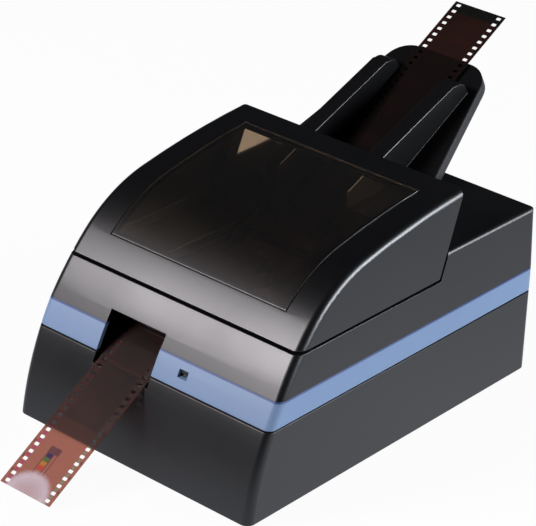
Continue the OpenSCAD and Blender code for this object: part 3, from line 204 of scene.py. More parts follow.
def lamp(name, toward, width, height, power, colour):
    """A soft rectangular lamp in that direction from the scanner, facing it. It is unseen through glass."""
    data = bpy.data.lights.new(name, "AREA")
    data.shape = "RECTANGLE"
    data.size = width
    data.size_y = height
    data.energy = power
    data.color = colour
    thing = new_object(name, data)
    direction = Vector(toward).normalized()
    thing.location = camera_aim + direction * lamp_distance
    thing.rotation_euler = direction.to_track_quat("Z", "Y").to_euler()
    thing.visible_transmission = False
    return thing


lamp("front_lamp", (-0.46, -0.74, 0.53), 0.6, 0.42, 25.5, (1.0, 0.95, 0.99))
lamp("side_lamp", (0.83, 0.46, 0.30), 1.4, 0.5, 30, (0.9, 0.93, 1.0))
edge_lamp = lamp("edge_lamp", (0.9, 0.38, 0.26), 1.3, 0.5, 25, (0.85, 0.92, 1.0))
edge_lamp.visible_diffuse = False

# ---- Lower casing ----
# The tub that everything is screwed into: black ABS with a fine spark-eroded grain from the mould, its
# open edges broken by a fraction of a millimetre. The screw posts and stands are moulded with it.
black_plastic = (0.002, 0.002, 0.0024, 1)
soft_black = (0.012, 0.012, 0.013, 1)
dust_colour = (0.55, 0.52, 0.48, 1)
joint_shadow = (0.15, 0.25, 0.5, 1)
casing_edge = 0.35 * MM
sharp_from = math.radians(28)
smooth_up_to = math.radians(32)
same_plane = math.radians(0.4)


def group(name, inputs, outputs=None):
    """An empty shader group, or without outputs a Geometry Nodes group, and its input sockets."""
    tree = bpy.data.node_groups.new(name, "ShaderNodeTree" if outputs else "GeometryNodeTree")
    for way, sockets in (("INPUT", inputs), ("OUTPUT", outputs or {"Geometry": "Geometry"})):
        for label, socket in sockets.items():
            tree.interface.new_socket(label, in_out=way, socket_type="NodeSocket" + socket)
    return tree, put(tree, "NodeGroupInput").outputs


def noise(tree, place, scale, detail, **more):
    return out(tree, "ShaderNodeTexNoise", {"Vector": place, "Scale": scale, "Detail": detail, **more})


def parts(tree, vector):
    return put(tree, "ShaderNodeSeparateXYZ", {0: vector}).outputs


def edge_mark(tree):
    """1 on the faces that round an edge off."""
    return put(tree, "ShaderNodeAttribute", attribute_name="edge").outputs["Fac"]


# Grain of a mould: fine pits over a slow unevenness, both from 0 to 1
grain, given = group("mould_grain", {"Pits per metre": "Float"}, {"Pits": "Float", "Unevenness": "Float"})
place = here(grain)
pits = noise(grain, place, given[0], 1.5, Roughness=0.6)
put(grain, "NodeGroupOutput", {0: pits, 1: noise(grain, place, 14.0, 3.0)})

# Wear along the rounded edges, and thin dust on what faces up
wear, given = group("wear_and_dust", {"Color": "Color", "Edge Color": "Color", "Edge Wear": "Float",
                                      "Dust": "Float"}, {"Color": "Color", "Dust": "Float"})
place = here(wear)
patches = ramp(wear, noise(wear, place, 120.0, 4.0, Roughness=0.7), 0.35, 0.75)
rubbed = product(wear, patches, edge_mark(wear), given["Edge Wear"])
lying = ramp(wear, parts(wear, put(wear, "ShaderNodeNewGeometry").outputs["Normal"])[2], 0.3, 1.0)
specks = ramp(wear, noise(wear, place, 900.0, 3.0), 0.45, 0.8)
dust = product(wear, lying, specks, given["Dust"])
worn = tinted(wear, rubbed, given["Color"], given["Edge Color"])
put(wear, "NodeGroupOutput", {0: tinted(wear, dust, worn, dust_colour), 1: dust})


def use(tree, effect, values):
    """The outputs of a shader group set to these values."""
    return put(tree, "ShaderNodeGroup", values, node_tree=effect).outputs


def within(tree, value, low, high, soft=0.08 * MM):
    """A mask that is 1 between low and high."""
    rise = ramp(tree, value, low - soft, low + soft)
    return product(tree, rise, ramp(tree, value, high - soft, high + soft, 1.0, 0.0))


def scaled(colour, factor, lift=0.0):
    return (*(min(1, c * factor + lift) for c in colour[:3]), 1)


def bumps(tree, height, strength, depth):
    return out(tree, "ShaderNodeBump", {"Height": height, "Strength": strength, "Distance": depth})


def surfaced(material, values):
    """The material, ended in a surface with these values."""
    tree = material.node_tree
    show(tree, out(tree, "ShaderNodeBsdfPrincipled", values))
    return material


def moulded(name, colour, smooth=0.34, rough=0.40, pits=2500.0, depth=0.03 * MM, lift=1.16, edge_wear=0.25,
            dust=0.004, ior=1.5, polish=0.0, shaded_above=None):
    """Injection-moulded plastic: grain from the mould, rubbed edges and a little dust. polish makes the
    edges shine, and above the height shaded_above a painted shadow of the joint darkens it."""
    material, tree = new_material(name)
    surface = use(tree, grain, {"Pits per metre": pits})
    aged = use(tree, wear, {
        "Color": tinted(tree, surface["Unevenness"], colour, scaled(colour, lift)),
        "Edge Color": scaled(colour, 1.6, 0.02), "Edge Wear": edge_wear, "Dust": dust})
    sheen = ramp(tree, surface["Unevenness"], 0.3, 0.7, smooth, rough)
    values = {"Base Color": aged["Color"], "Roughness": maths(tree, "ADD", sheen, aged["Dust"]),
              "Normal": bumps(tree, surface["Pits"], 0.5, depth), "IOR": ior}
    # Painted shadow: above that height the colour darkens, as the joint above shades it
    if shaded_above:
        shaded = within(tree, parts(tree, here(tree))[2], shaded_above, 1.0)
        dark = tuple(c * share for c, share in zip(colour, joint_shadow))
        values["Base Color"] = tinted(tree, shaded, aged["Color"], dark)
    if polish:
        values |= {"Coat Weight": product(tree, edge_mark(tree), polish), "Coat Roughness": 0.22}
    return surfaced(material, values)


def solved(piece, **settings):
    """The mesh that a piece's modifiers make."""
    graph = bpy.context.evaluated_depsgraph_get()
    return bpy.data.meshes.new_from_object(piece.evaluated_get(graph), depsgraph=graph, **settings)


def flatten(piece):
    """Weights the shading by area, so that a flat face stays flat up to its rounded edge."""
    even = piece.modifiers.new("even", "WEIGHTED_NORMAL")
    even.mode = "FACE_AREA"
    even.weight = 100
    even.keep_sharp = True
    plain = piece.data
    piece.data = solved(piece, preserve_all_data_layers=True)
    piece.modifiers.clear()
    bpy.data.meshes.remove(plain)


def match_across(mesh):
    """Faces that run straight across the scanner share their shading at each depth and height, so that a
    cut in a curved front leaves no mark on it."""
    rows = {}
    for face in mesh.polygons:
        if abs(face.normal.x) < 0.02:
            for corner in face.loop_indices:
                point = mesh.vertices[mesh.loops[corner].vertex_index].co
                rows.setdefault((round(point.y / MM, 2), round(point.z / MM, 2)), []).append((corner, face))
    shading = [corner.vector.copy() for corner in mesh.corner_normals]
    for row in rows.values():
        for corner, face in row:
            near = [f.normal * f.area for _, f in row if f.normal.dot(face.normal) > math.cos(smooth_up_to)]
            shading[corner] = sum(near, Vector()).normalized()
    mesh.normals_split_custom_set(shading)


def form_of(node):
    form = bmesh.new()
    form.from_mesh(nodes[node].data)
    bmesh.ops.remove_doubles(form, verts=form.verts, dist=1e-6)
    return form


def rounded(node, width, steps=2, shortest=1.0 * MM, room=3.0):
    """A node's shape as a bmesh with its sharp edges rounded, where their faces are wide enough for it."""
    form = form_of(node)
    bmesh.ops.dissolve_limit(form, angle_limit=same_plane, verts=form.verts, edges=form.edges)

    def breadth(edge):
        start, line = edge.verts[0].co, (edge.verts[1].co - edge.verts[0].co).normalized()
        return min(max((v.co - start - line * line.dot(v.co - start)).length for v in f.verts)
                   for f in edge.link_faces)

    corners = [e for e in form.edges if len(e.link_faces) == 2 and e.calc_face_angle() > sharp_from
               and e.calc_length() > shortest and breadth(e) > room * width]
    mark = form.faces.layers.float.new("edge")
    made = bmesh.ops.bevel(form, geom=corners, offset=width, offset_type="OFFSET", segments=steps,
                           profile=0.5, affect="EDGES", clamp_overlap=False, miter_outer="ARC")
    for face in made["faces"]:
        face[mark] = 1.0
    bmesh.ops.triangulate(form, faces=[f for f in form.faces if len(f.verts) > 4])
    for face in form.faces:
        face.smooth = True
    return form


def into_mesh(form, name):
    """A bmesh turned into a mesh with its sharp edges marked."""
    mesh = bpy.data.meshes.new(name)
    form.to_mesh(mesh)
    form.free()
    mesh.set_sharp_from_angle(angle=smooth_up_to)
    return mesh


def fit(piece, node):
    """The finished piece stands for the node, which is hidden, and moves with its body."""
    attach(piece, next(body for body, held in bodies.items() if node in held))
    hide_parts(node)


def dress(name, node, width, material, slot=None, straight=False, **settings):
    """A piece in a node's place: its shape with its sharp edges rounded. straight evens the shading of the
    faces that run across the scanner."""
    piece = mesh_object(name, into_mesh(rounded(node, width, **settings), name), [material])
    flatten(piece)
    if straight:
        match_across(piece.data)
    fit(piece, node)


charcoal = moulded("charcoal_plastic", black_plastic, smooth=0.31, rough=0.37)
dress("tub", "lower_casing", casing_edge, charcoal, straight=True)

# ---- Feet ----
# Four discs of matt black rubber with a grey bloom, pressed into round seats under the tub.
# Here and on the other small pieces, edges from the length fine on are rounded.
foot_edge = 0.5 * MM
fine = 0.3 * MM


def rubber(name, colour, rough=0.72, bloom=0.4, marks=900.0):
    """Rubber with a chalky bloom and the fine marks of its mould."""
    material, tree = new_material(name)
    surface = use(tree, grain, {"Pits per metre": marks})
    bloomed = product(tree, surface["Unevenness"], bloom)
    return surfaced(material, {
        "Base Color": tinted(tree, bloomed, colour, scaled(colour, 1.4, 0.012)),
        "Roughness": ramp(tree, surface["Pits"], 0.3, 0.7, rough - 0.06, rough + 0.06),
        "Normal": bumps(tree, surface["Pits"], 0.4, 0.05 * MM), "Specular IOR Level": 0.35})


foot_rubber = rubber("foot_rubber", (0.012, 0.012, 0.012, 1))
dress("foot_discs", "feet", foot_edge, foot_rubber, shortest=fine)

# ---- Chassis plates ----
# A base plate and two side plates, stamped from 1 mm sheet steel and blackened, so that they throw no light
# on the film. The side plates carry the bushings of all three rollers.
sheet_edge = 0.12 * MM
crystal_scale = 160.0


def cells(tree, place, scale, **settings):
    return put(tree, "ShaderNodeTexVoronoi", {"Vector": place, "Scale": scale}, **settings).outputs


def metal(name, colour, smooth=0.22, rough=0.38, grain_way=(1, 1, 1), lines=300.0, spangle=0.0):
    """Bare metal with fine lines, stretched along the axis with a low number in grain_way. spangle adds the
    crystal pattern of zinc."""
    material, tree = new_material(name)
    place = here(tree)
    scratches = noise(tree, out(tree, "ShaderNodeMapping", {0: place, 3: grain_way}), lines, 3.0)
    crystals = out(tree, "ShaderNodeSeparateColor", {0: cells(tree, place, crystal_scale)["Color"]})
    crystals = product(tree, crystals, spangle)
    return surfaced(material, {
        "Base Color": tinted(tree, crystals, colour, scaled(colour, 0.7)), "Metallic": 1.0,
        "Roughness": maths(tree, "ADD", ramp(tree, scratches, 0.3, 0.7, smooth, rough), crystals),
        "Normal": bumps(tree, scratches, 0.25, 0.02 * MM)})


blackened = metal("blackened_sheet", (0.03, 0.03, 0.033, 1), smooth=0.3, rough=0.45,
                  grain_way=(1, 0.05, 1), spangle=0.1)
dress("floor_plate", "base_plate", sheet_edge, blackened)
for side in ("left", "right"):
    dress("side_plate_" + side, side + "_side_plate", sheet_edge, blackened)

# ---- Screws ----
# Zinc-plated steel screws with domed heads and cross recesses: long ones through the tub into the upper
# casing, and short ones for the plates, the boards and the motor. Geometry Nodes make them size by size.
thread_pitch = 0.8 * MM
thread_depth = 0.18
dome = 0.45
recess_width = 1.3
recess_breadth = 0.3
recess_rise = 0.45
steps_a_turn = 4.0
screw_sizes = ("Head Radius", "Head Height", "Shank Radius", "Shank Length")


def xyz(tree, x=0.0, y=0.0, z=0.0):
    return out(tree, "ShaderNodeCombineXYZ", {0: x, 1: y, 2: z})


def moved(tree, geometry, **by):
    """The geometry moved by x, y or z."""
    return out(tree, "GeometryNodeTransform", {"Geometry": geometry, "Translation": xyz(tree, **by)})


def repeated(tree, points, instance, material, **more):
    """One mesh with the instance at each point."""
    row = out(tree, "GeometryNodeInstanceOnPoints", {"Points": points, "Instance": instance, **more})
    row = out(tree, "GeometryNodeRealizeInstances", {"Geometry": row})
    return out(tree, "GeometryNodeSetMaterial", {"Geometry": row, "Material": material})


def grown(name, tree, values, seed_mesh=None):
    """The mesh that a Geometry Nodes tree makes from these inputs and the points of seed_mesh."""
    seed = new_object(name, seed_mesh or bpy.data.meshes.new(name))
    maker = seed.modifiers.new("maker", "NODES")
    maker.node_group = tree
    for socket in tree.interface.items_tree:
        if socket.in_out == "INPUT" and socket.name in values:
            maker[socket.identifier] = values[socket.name]
    mesh = solved(seed)
    bpy.data.objects.remove(seed)
    mesh.name = name
    return mesh


screws, given = group("screw_row", {"Seats": "Geometry", **dict.fromkeys(screw_sizes, "Float"),
                                    "Pitch": "Float", "Material": "Material"})
head_radius, head_height, shank_radius, shank_length = (given[size] for size in screw_sizes)
place = out(screws, "GeometryNodeInputPosition")
point = parts(screws, place)
head = out(screws, "GeometryNodeMeshCylinder", {
    "Vertices": 20, "Fill Segments": 3, "Radius": head_radius, "Depth": head_height})
rim = maths(screws, "DIVIDE", length_of(screws, xyz(screws, point[0], point[1])), head_radius)
top = maths(screws, "GREATER_THAN", point[2], 0.0)
drop = xyz(screws, z=product(screws, maths(screws, "POWER", rim, 3.0), head_height, -dome))
head = out(screws, "GeometryNodeSetPosition", {"Geometry": head, "Selection": top, "Offset": drop})
wide = product(screws, head_radius, recess_width)
thin = product(screws, head_radius, recess_breadth)
recess_up = product(screws, head_height, recess_rise)
cross = [out(screws, "GeometryNodeMeshCube", {"Size": xyz(screws, x, y, head_height)})
         for x, y in ((wide, thin), (thin, wide))]
cross = [moved(screws, bar, z=recess_up) for bar in cross]
head = out(screws, "GeometryNodeMeshBoolean", {"Mesh 1": head, "Mesh 2": cross}, operation="DIFFERENCE",
           solver="EXACT")
head = moved(screws, head, z=product(screws, head_height, 0.5))

# The thread: a cylinder whose radius falls and rises once a pitch, further round at each step
rings = product(screws, maths(screws, "DIVIDE", shank_length, given["Pitch"]), steps_a_turn)
shank = out(screws, "GeometryNodeMeshCylinder", {
    "Vertices": 10, "Side Segments": rings, "Radius": shank_radius, "Depth": shank_length})
turned = maths(screws, "DIVIDE", maths(screws, "ARCTAN2", point[1], point[0]), math.tau)
climb = maths(screws, "DIVIDE", point[2], given["Pitch"])
phase = maths(screws, "FRACT", maths(screws, "ADD", climb, turned))
ridge = maths(screws, "ABSOLUTE", maths(screws, "MULTIPLY_ADD", phase, 2.0, -1.0))
narrow = maths(screws, "MULTIPLY_ADD", ridge, -thread_depth, 1.0)
threaded = out(screws, "ShaderNodeVectorMath", {0: place, 1: xyz(screws, narrow, narrow, 1.0)},
               operation="MULTIPLY")
shank = out(screws, "GeometryNodeSetPosition", {"Geometry": shank, "Position": threaded})
shank = moved(screws, shank, z=product(screws, shank_length, -0.5))
whole = out(screws, "GeometryNodeJoinGeometry", {0: [head, shank]})
aim = out(screws, "GeometryNodeInputNamedAttribute", {"Name": "aim"}, data_type="FLOAT_VECTOR")
aimed = out(screws, "FunctionNodeAlignRotationToVector", {"Vector": aim})
row = repeated(screws, given["Seats"], whole, given["Material"], Rotation=aimed)
put(screws, "NodeGroupOutput", {0: row})


def solids(node):
    """The corner points of each separate solid in a node."""
    form = form_of(node)
    left = dict.fromkeys(form.verts)
    found = []
    while left:
        reached = [next(iter(left))]
        del left[reached[0]]
        for vert in reached:
            for edge in vert.link_edges:
                other = edge.other_vert(vert)
                if other in left:
                    del left[other]
                    reached.append(other)
        found.append([vert.co.copy() for vert in reached])
    form.free()
    return found


def extent(points):
    return (Vector([pick(p[i] for p in points) for i in range(3)]) for pick in (min, max))


def screw_seats(node):
    """Each size of screw in a node, with the seats under its heads and the way the heads face."""
    sizes = {}
    for points in solids(node):
        low, high = extent(points)
        axis = max(range(3), key=lambda i: high[i] - low[i])
        middle = (low + high) / 2

        def radius(p):
            return math.hypot(*(p[i] - middle[i] for i in range(3) if i != axis))
        widest = max(radius(p) for p in points)
        head_span = [p[axis] for p in points if radius(p) > 0.9 * widest]
        faces_up = sum(head_span) / len(head_span) > middle[axis]
        way = Vector([float(i == axis) for i in range(3)]) * (1 if faces_up else -1)
        far = low[axis] if faces_up else high[axis]
        shank_radius = max(radius(p) for p in points if abs(p[axis] - far) < 0.1 * MM)
        seat = middle.copy()
        seat[axis] = min(head_span) if faces_up else max(head_span)
        key = tuple(round(v / MM, 2) for v in (
            widest, max(head_span) - min(head_span), shank_radius, abs(seat[axis] - far)))
        sizes.setdefault(key, []).append((seat, way))
    return sizes


zinc = metal("zinc_plate", (0.56, 0.56, 0.58, 1), smooth=0.2, rough=0.34, lines=900.0, spangle=0.15)
for use_of in ("case", "plate", "board", "motor"):
    name = use_of + "_screw_set"
    together = bmesh.new()
    for sizes, places in screw_seats(use_of + "_screws").items():
        seats = bpy.data.meshes.new(name)
        seats.from_pydata([seat for seat, way in places], [], [])
        facing = seats.attributes.new("aim", "FLOAT_VECTOR", "POINT")
        facing.data.foreach_set("vector", [c for seat, way in places for c in way])
        values = {label: size * MM for label, size in zip(screw_sizes, sizes)}
        together.from_mesh(grown(name, screws, {**values, "Pitch": thread_pitch, "Material": zinc}, seats))
    for face in together.faces:
        face.smooth = True
    fit(mesh_object(name, into_mesh(together, name), [zinc]), use_of + "_screws")

# ---- Circuit boards ----
# Glass-fibre boards under green lacquer: the main board on the right, the sensor board under the lens, and
# small ones for the backlight and the indicator. Copper tracks show through the lacquer. The vias are tin.
board_edge = 0.15 * MM
track_pitch = 1.1 * MM
track_width = 0.35 * MM
lacquer_green = (0.006, 0.06, 0.025, 1)
track_green = (0.02, 0.13, 0.05, 1)
via_tin = (0.6, 0.6, 0.58, 1)


def board(name, axes):
    """Green lacquer over tracks that run along one or the other of the board's two axes by patches."""
    material, tree = new_material(name)
    place = here(tree)
    split = parts(tree, place)
    patches = cells(tree, place, 150.0, distance="CHEBYCHEV")["Color"]
    way = put(tree, "ShaderNodeSeparateColor", {0: patches}).outputs
    lines = [maths(tree, "LESS_THAN", maths(tree, "FLOORED_MODULO", split[axis], track_pitch), track_width)
             for axis in axes]
    chosen = maths(tree, "GREATER_THAN", way[0], 0.5)
    tracks = out(tree, "ShaderNodeMix", {0: chosen, 2: lines[0], 3: lines[1]})
    tracks = product(tree, tracks, maths(tree, "GREATER_THAN", way[1], 0.35))
    vias = ramp(tree, cells(tree, place, 210.0)["Distance"], 0.1, 0.13, 1.0, 0.0)
    green = tinted(tree, tracks, lacquer_green, track_green)
    return surfaced(material, {
        "Base Color": tinted(tree, vias, green, via_tin), "Metallic": vias,
        "Roughness": ramp(tree, tracks, 0.0, 1.0, 0.34, 0.26),
        "Normal": bumps(tree, tracks, 0.6, 0.03 * MM)})


flat_board = board("green_board", (0, 1))
upright_board = board("green_board_upright", (0, 2))
for node in ("main_board", "sensor_board", "backlight_board", "indicator_board"):
    lacquer = upright_board if node == "indicator_board" else flat_board
    dress(node + "_plate", node, board_edge, lacquer)

# ---- Parts on the main board ----
# A processor, two memories, a pin header and three capacitors, soldered to the board. The flat packages are
# moulded epoxy with bent tin legs in rows; the taller parts, among them the capacitors, take the same epoxy
# without legs.
leg_pitch = 1.27 * MM
leg_width = 0.45 * MM
leg_thick = 0.2 * MM
leg_reach = 1.1 * MM
leg_inside = 0.1 * MM
flat_package = 3 * MM
package_edge = 0.25 * MM


def rectangle(tree, width, height):
    return out(tree, "GeometryNodeCurvePrimitiveQuadrilateral", {"Width": width, "Height": height})


def line_of(tree, count, pitch):
    """Points in a row from front to back."""
    return out(tree, "GeometryNodeMeshLine", {"Count": count, "Offset": xyz(tree, y=pitch)})


leg_row, given = group("leg_row", {"Path": "Geometry", "Count": "Int", "Pitch": "Float", "Width": "Float",
                                   "Thickness": "Float", "Material": "Material"})
path = out(leg_row, "GeometryNodeMeshToCurve", {"Mesh": given["Path"]})
strap = rectangle(leg_row, given["Thickness"], given["Width"])
leg = out(leg_row, "GeometryNodeCurveToMesh", {"Curve": path, "Profile Curve": strap, "Fill Caps": True})
legs_at = line_of(leg_row, given["Count"], given["Pitch"])
put(leg_row, "NodeGroupOutput", {0: repeated(leg_row, legs_at, leg, given["Material"])})

epoxy = moulded("epoxy", soft_black, smooth=0.36, rough=0.46, pits=5000.0, edge_wear=0.1)
tin = metal("tinned_legs", (0.72, 0.71, 0.68, 1), smooth=0.25, rough=0.4, lines=1200.0)
chips = rounded("board_chips", package_edge)
for points in solids("board_chips"):
    low, high = extent(points)
    size = high - low
    if size.z > flat_package:
        continue
    for side, edge in ((-1, low.x), (1, high.x)):
        path = bpy.data.meshes.new("leg_path")
        path.from_pydata([(edge + side * x, 0, z) for x, z in (
            (-leg_inside, size.z / 2), (leg_reach / 2, size.z / 2), (leg_reach / 2, leg_thick / 2),
            (leg_reach, leg_thick / 2))], [(0, 1), (1, 2), (2, 3)], [])
        count = int((size.y - leg_pitch) / leg_pitch)
        legs = grown("legs", leg_row, {"Count": count, "Pitch": leg_pitch, "Width": leg_width,
                                       "Thickness": leg_thick, "Material": tin}, path)
        legs.transform(Matrix.Translation((0, (low.y + high.y - (count - 1) * leg_pitch) / 2, low.z)))
        for polygon in legs.polygons:
            polygon.material_index = 1
        chips.from_mesh(legs)
board_parts = mesh_object("board_parts", into_mesh(chips, "board_parts"), [epoxy, tin])
flatten(board_parts)
fit(board_parts, "board_chips")

# ---- Sockets and power switch ----
# A square data socket of folded tinned steel, a power jack of black nylon, and a rocker switch that snaps
# into the rear wall. The rocker has the two usual marks, printed in white.
socket_edge = 0.2 * MM
folded_tin = metal("folded_tin", (0.62, 0.62, 0.61, 1), smooth=0.24, rough=0.36, lines=700.0)
dress("data_socket", "usb_socket", socket_edge, folded_tin)
nylon = moulded("black_nylon", soft_black, smooth=0.4, rough=0.5, pits=1800.0)
dress("power_socket", "power_jack", socket_edge, nylon, "chip_black")
dress("switch_frame", "switch_body", socket_edge, nylon)

rocker_black = (0.014, 0.014, 0.015, 1)
mark_white = (0.75, 0.75, 0.73, 1)
mark_line = 0.25 * MM
mark_size = 1.3 * MM


def from_middle(tree, node):
    """How far the shaded point lies from the middle of a node's box each way, and half the box's size."""
    low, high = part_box(node)
    return parts(tree, between(tree, here(tree), (low + high) / 2)), (high - low) / 2


rocker_plastic, tree = new_material("rocker_plastic")
surface = use(tree, grain, {"Pits per metre": 2000.0})
place, half = from_middle(tree, "power_rocker")
mark_height = half.z / 2
stroke = product(tree, within(tree, place[0], -mark_line, mark_line),
                 within(tree, place[2], mark_height - mark_size, mark_height + mark_size))
ring = length_of(tree, xyz(tree, place[0], maths(tree, "ADD", place[2], mark_height)))
ring = within(tree, ring, mark_size - mark_line, mark_size + mark_line)
marks = product(tree, maths(tree, "MAXIMUM", stroke, ring), maths(tree, "GREATER_THAN", place[1], 0.0))
surfaced(rocker_plastic, {
    "Base Color": tinted(tree, marks, rocker_black, mark_white),
    "Roughness": ramp(tree, surface["Unevenness"], 0.0, 1.0, 0.3, 0.42),
    "Normal": bumps(tree, surface["Pits"], 0.4, 0.03 * MM)})
dress("rocker", "power_rocker", socket_edge, rocker_plastic)

# ---- Camera head ----
# A holder moulded in black nylon stands on the sensor board and grips the lens barrel, which has a coated
# glass at each end. The sensor has a dark window in a ceramic frame. A white ribbon leads to the main board.
barrel_edge = 0.15 * MM
glass_edge = 0.1 * MM
ribbon_edge = 0.08 * MM
sensor_frame = 2.5 * MM
wire_pitch = 0.6 * MM
nylon_matt = moulded("matt_nylon", (0.01, 0.01, 0.011, 1), smooth=0.5, rough=0.62, pits=1500.0)
barrel_black = metal("anodised_barrel", (0.03, 0.03, 0.033, 1), smooth=0.3, rough=0.42,
                     grain_way=(1, 1, 8), lines=400.0)
dress("lens_mount", "lens_holder", socket_edge, nylon_matt)
dress("lens_tube", "lens_barrel", barrel_edge, barrel_black)


def clear(name, colour, roughness=0.03, ior=1.49, scratches=0.04, haze=0.0, edge_matt=0.0, edge_shade=0.0):
    """A transparent plastic or glass with faint smears on its faces. haze adds a thin dull sheen, edge_matt
    makes the rounded edges duller, and edge_shade paints shade on them as a darker colour."""
    material, tree = new_material(name)
    smears = noise(tree, here(tree), 35.0, 5.0, Distortion=1.5)
    rough = ramp(tree, smears, 0.4, 0.75, roughness, roughness + scratches)
    rubbed = edge_mark(tree)
    tint = tinted(tree, smears, colour, scaled(colour, 0.94))
    # Painted shade: on the rounded edges the colour darkens towards black by edge_shade
    return surfaced(material, {
        "Base Color": tinted(tree, product(tree, rubbed, edge_shade), tint, (0, 0, 0, 1)),
        "Roughness": maths(tree, "MULTIPLY_ADD", rubbed, edge_matt, rough),
        "Transmission Weight": 1.0, "IOR": ior, "Coat Weight": haze, "Coat Roughness": 0.4})


lens_coated = clear("coated_glass", (0.82, 0.90, 0.95, 1), roughness=0.0, ior=1.52, scratches=0.01)
dress("lens_pair", "lens_glass", glass_edge, lens_coated)

ceramic, tree = new_material("sensor_package")
place, half = from_middle(tree, "image_sensor")
half -= Vector((sensor_frame, sensor_frame, 0))
dark_window = product(tree, within(tree, place[0], -half.x, half.x), within(tree, place[1], -half.y, half.y),
                      maths(tree, "GREATER_THAN", place[2], 0.0))
surface = use(tree, grain, {"Pits per metre": 3000.0})
clay = tinted(tree, surface["Pits"], (0.10, 0.10, 0.11, 1), (0.14, 0.14, 0.15, 1))
surfaced(ceramic, {"Base Color": tinted(tree, dark_window, clay, (0.012, 0.02, 0.03, 1)),
                   "Roughness": ramp(tree, dark_window, 0.0, 1.0, 0.55, 0.06)})
dress("sensor_chip", "image_sensor", barrel_edge, ceramic)

ribbon_white, tree = new_material("white_ribbon")
place = here(tree)
wire = maths(tree, "FLOORED_MODULO", parts(tree, place)[1], wire_pitch)
wire = within(tree, wire, wire_pitch * 0.3, wire_pitch * 0.8)
surfaced(ribbon_white, {
    "Base Color": tinted(tree, wire, (0.78, 0.78, 0.75, 1), (0.60, 0.60, 0.58, 1)),
    "Roughness": ramp(tree, noise(tree, place, 600.0, 2.0), 0.0, 1.0, 0.38, 0.5),
    "Normal": bumps(tree, wire, 0.5, 0.1 * MM)})
dress("sensor_ribbon", "sensor_cable", ribbon_edge, ribbon_white)

# ---- Film bed and bushings ----
# The lower guide that the film slides on, moulded in matt black with a window for the light gate, and six
# black acetal bushings pressed into the side plates.
guide_edge = 0.25 * MM
turned_edge = 0.2 * MM
guide_black = moulded("guide_plastic", (0.0035, 0.0035, 0.004, 1), smooth=0.48, rough=0.6, pits=1800.0,
                      depth=0.05 * MM)
dress("lower_guide", "film_bed", guide_edge, guide_black)
black_acetal = moulded("black_acetal", soft_black, smooth=0.3, rough=0.38, pits=900.0, edge_wear=0.1,
                       dust=0.0, ior=1.48)
dress("bushing_set", "shaft_bushings", turned_edge, black_acetal, shortest=fine)

# ---- Driven rollers ----
# The pick, entry and exit rollers: ground steel shafts with rubber tyres on hubs, and a black acetal gear
# pressed on each right-hand end.
tyre_edge = 0.4 * MM
gear_edge = 0.12 * MM
tooth_side = 0.5 * MM
tyre_rubber = rubber("tyre_rubber", (0.02, 0.02, 0.021, 1), rough=0.62, bloom=0.6, marks=1400.0)
ground_steel = metal("ground_steel", (0.58, 0.58, 0.6, 1), smooth=0.12, rough=0.24, grain_way=(8, 1, 1),
                     lines=500.0)
for roller, tyre in (("pick", "pick_tyre"), ("entry", "entry_tyres"), ("exit", "exit_tyres")):
    dress(roller + "_roller_shaft", roller + "_shaft", turned_edge, ground_steel, shortest=fine)
    dress(roller + "_roller_tyre", tyre, tyre_edge, tyre_rubber, shortest=fine)
    dress(roller + "_roller_gear", roller + "_gear", gear_edge, black_acetal, shortest=tooth_side)

# ---- Gear train and motor ----
# Two black acetal idlers turn on steel studs riveted to the right side plate. The drawn steel can of the
# motor carries a brass pinion and is held by two screws.
can_edge = 0.5 * MM
pinion_tooth_side = 0.4 * MM
for name, node in (("idler_large", "gate_gear"), ("idler_small", "link_gear")):
    dress(name, node, gear_edge, black_acetal, shortest=tooth_side)
dress("idler_studs", "gear_studs", turned_edge, ground_steel, shortest=fine)
can_steel = metal("drawn_can", (0.52, 0.52, 0.53, 1), smooth=0.2, rough=0.34, grain_way=(0.1, 1, 1))
dress("motor_case", "motor_can", can_edge, can_steel, shortest=fine)
brass = metal("turned_brass", (0.72, 0.50, 0.19, 1), smooth=0.16, rough=0.3, grain_way=(6, 1, 1))
dress("brass_pinion", "motor_pinion", gear_edge, brass, shortest=pinion_tooth_side)

# ---- Pinch rollers and springs ----
# Two free rollers of black acetal press the film on the tyres from above. Four strips of blued spring steel
# push their ends down.
pinch_edge = 0.3 * MM
spring_edge = 0.1 * MM
spring_strip = metal("spring_strip", (0.05, 0.055, 0.07, 1), smooth=0.16, rough=0.28, grain_way=(1, 0.06, 1))
for node in ("entry_pinch", "exit_pinch"):
    dress(node + "_roller", node, pinch_edge, black_acetal, "bearing_white", shortest=fine)
dress("spring_strips", "pinch_springs", spring_edge, spring_strip, shortest=fine)

# ---- Light gate ----
# The upper guide with its four arms, and over its window the backlight: a black housing, an opal plate that
# spreads the light, and the lamp board.
housing_edge = 0.5 * MM
opal_edge = 0.2 * MM
dress("upper_guide", "gate_cover", guide_edge, guide_black)
dress("backlight_case", "backlight_housing", housing_edge, guide_black)
opal, tree = new_material("opal_plate")
cloud = noise(tree, here(tree), 60.0, 3.0)
surfaced(opal, {"Base Color": tinted(tree, cloud, (0.80, 0.80, 0.77, 1), (0.86, 0.86, 0.84, 1)),
                "Roughness": ramp(tree, cloud, 0.0, 1.0, 0.4, 0.55), "Transmission Weight": 0.25})
dress("diffuser_plate", "backlight_diffuser", opal_edge, opal)

# ---- Separator and film flag ----
# A bar across the film's way carries a brown friction pad that holds back a second strip. Behind it a light
# lever is lifted by the film's edge and clears a fork-shaped light barrier.
pad_edge = 0.3 * MM
lever_edge = 0.2 * MM
pad_brown = rubber("pad_rubber", (0.10, 0.075, 0.055, 1), rough=0.8, bloom=0.5, marks=700.0)
dress("separator_beam", "separator_bar", guide_edge, guide_black, "guide_black")
dress("separator_rubber", "separator_pad", pad_edge, pad_brown)
dress("film_lever", "film_flag", lever_edge, nylon_matt, shortest=fine)
dress("light_barrier", "flag_sensor", lever_edge, epoxy, "chip_black")

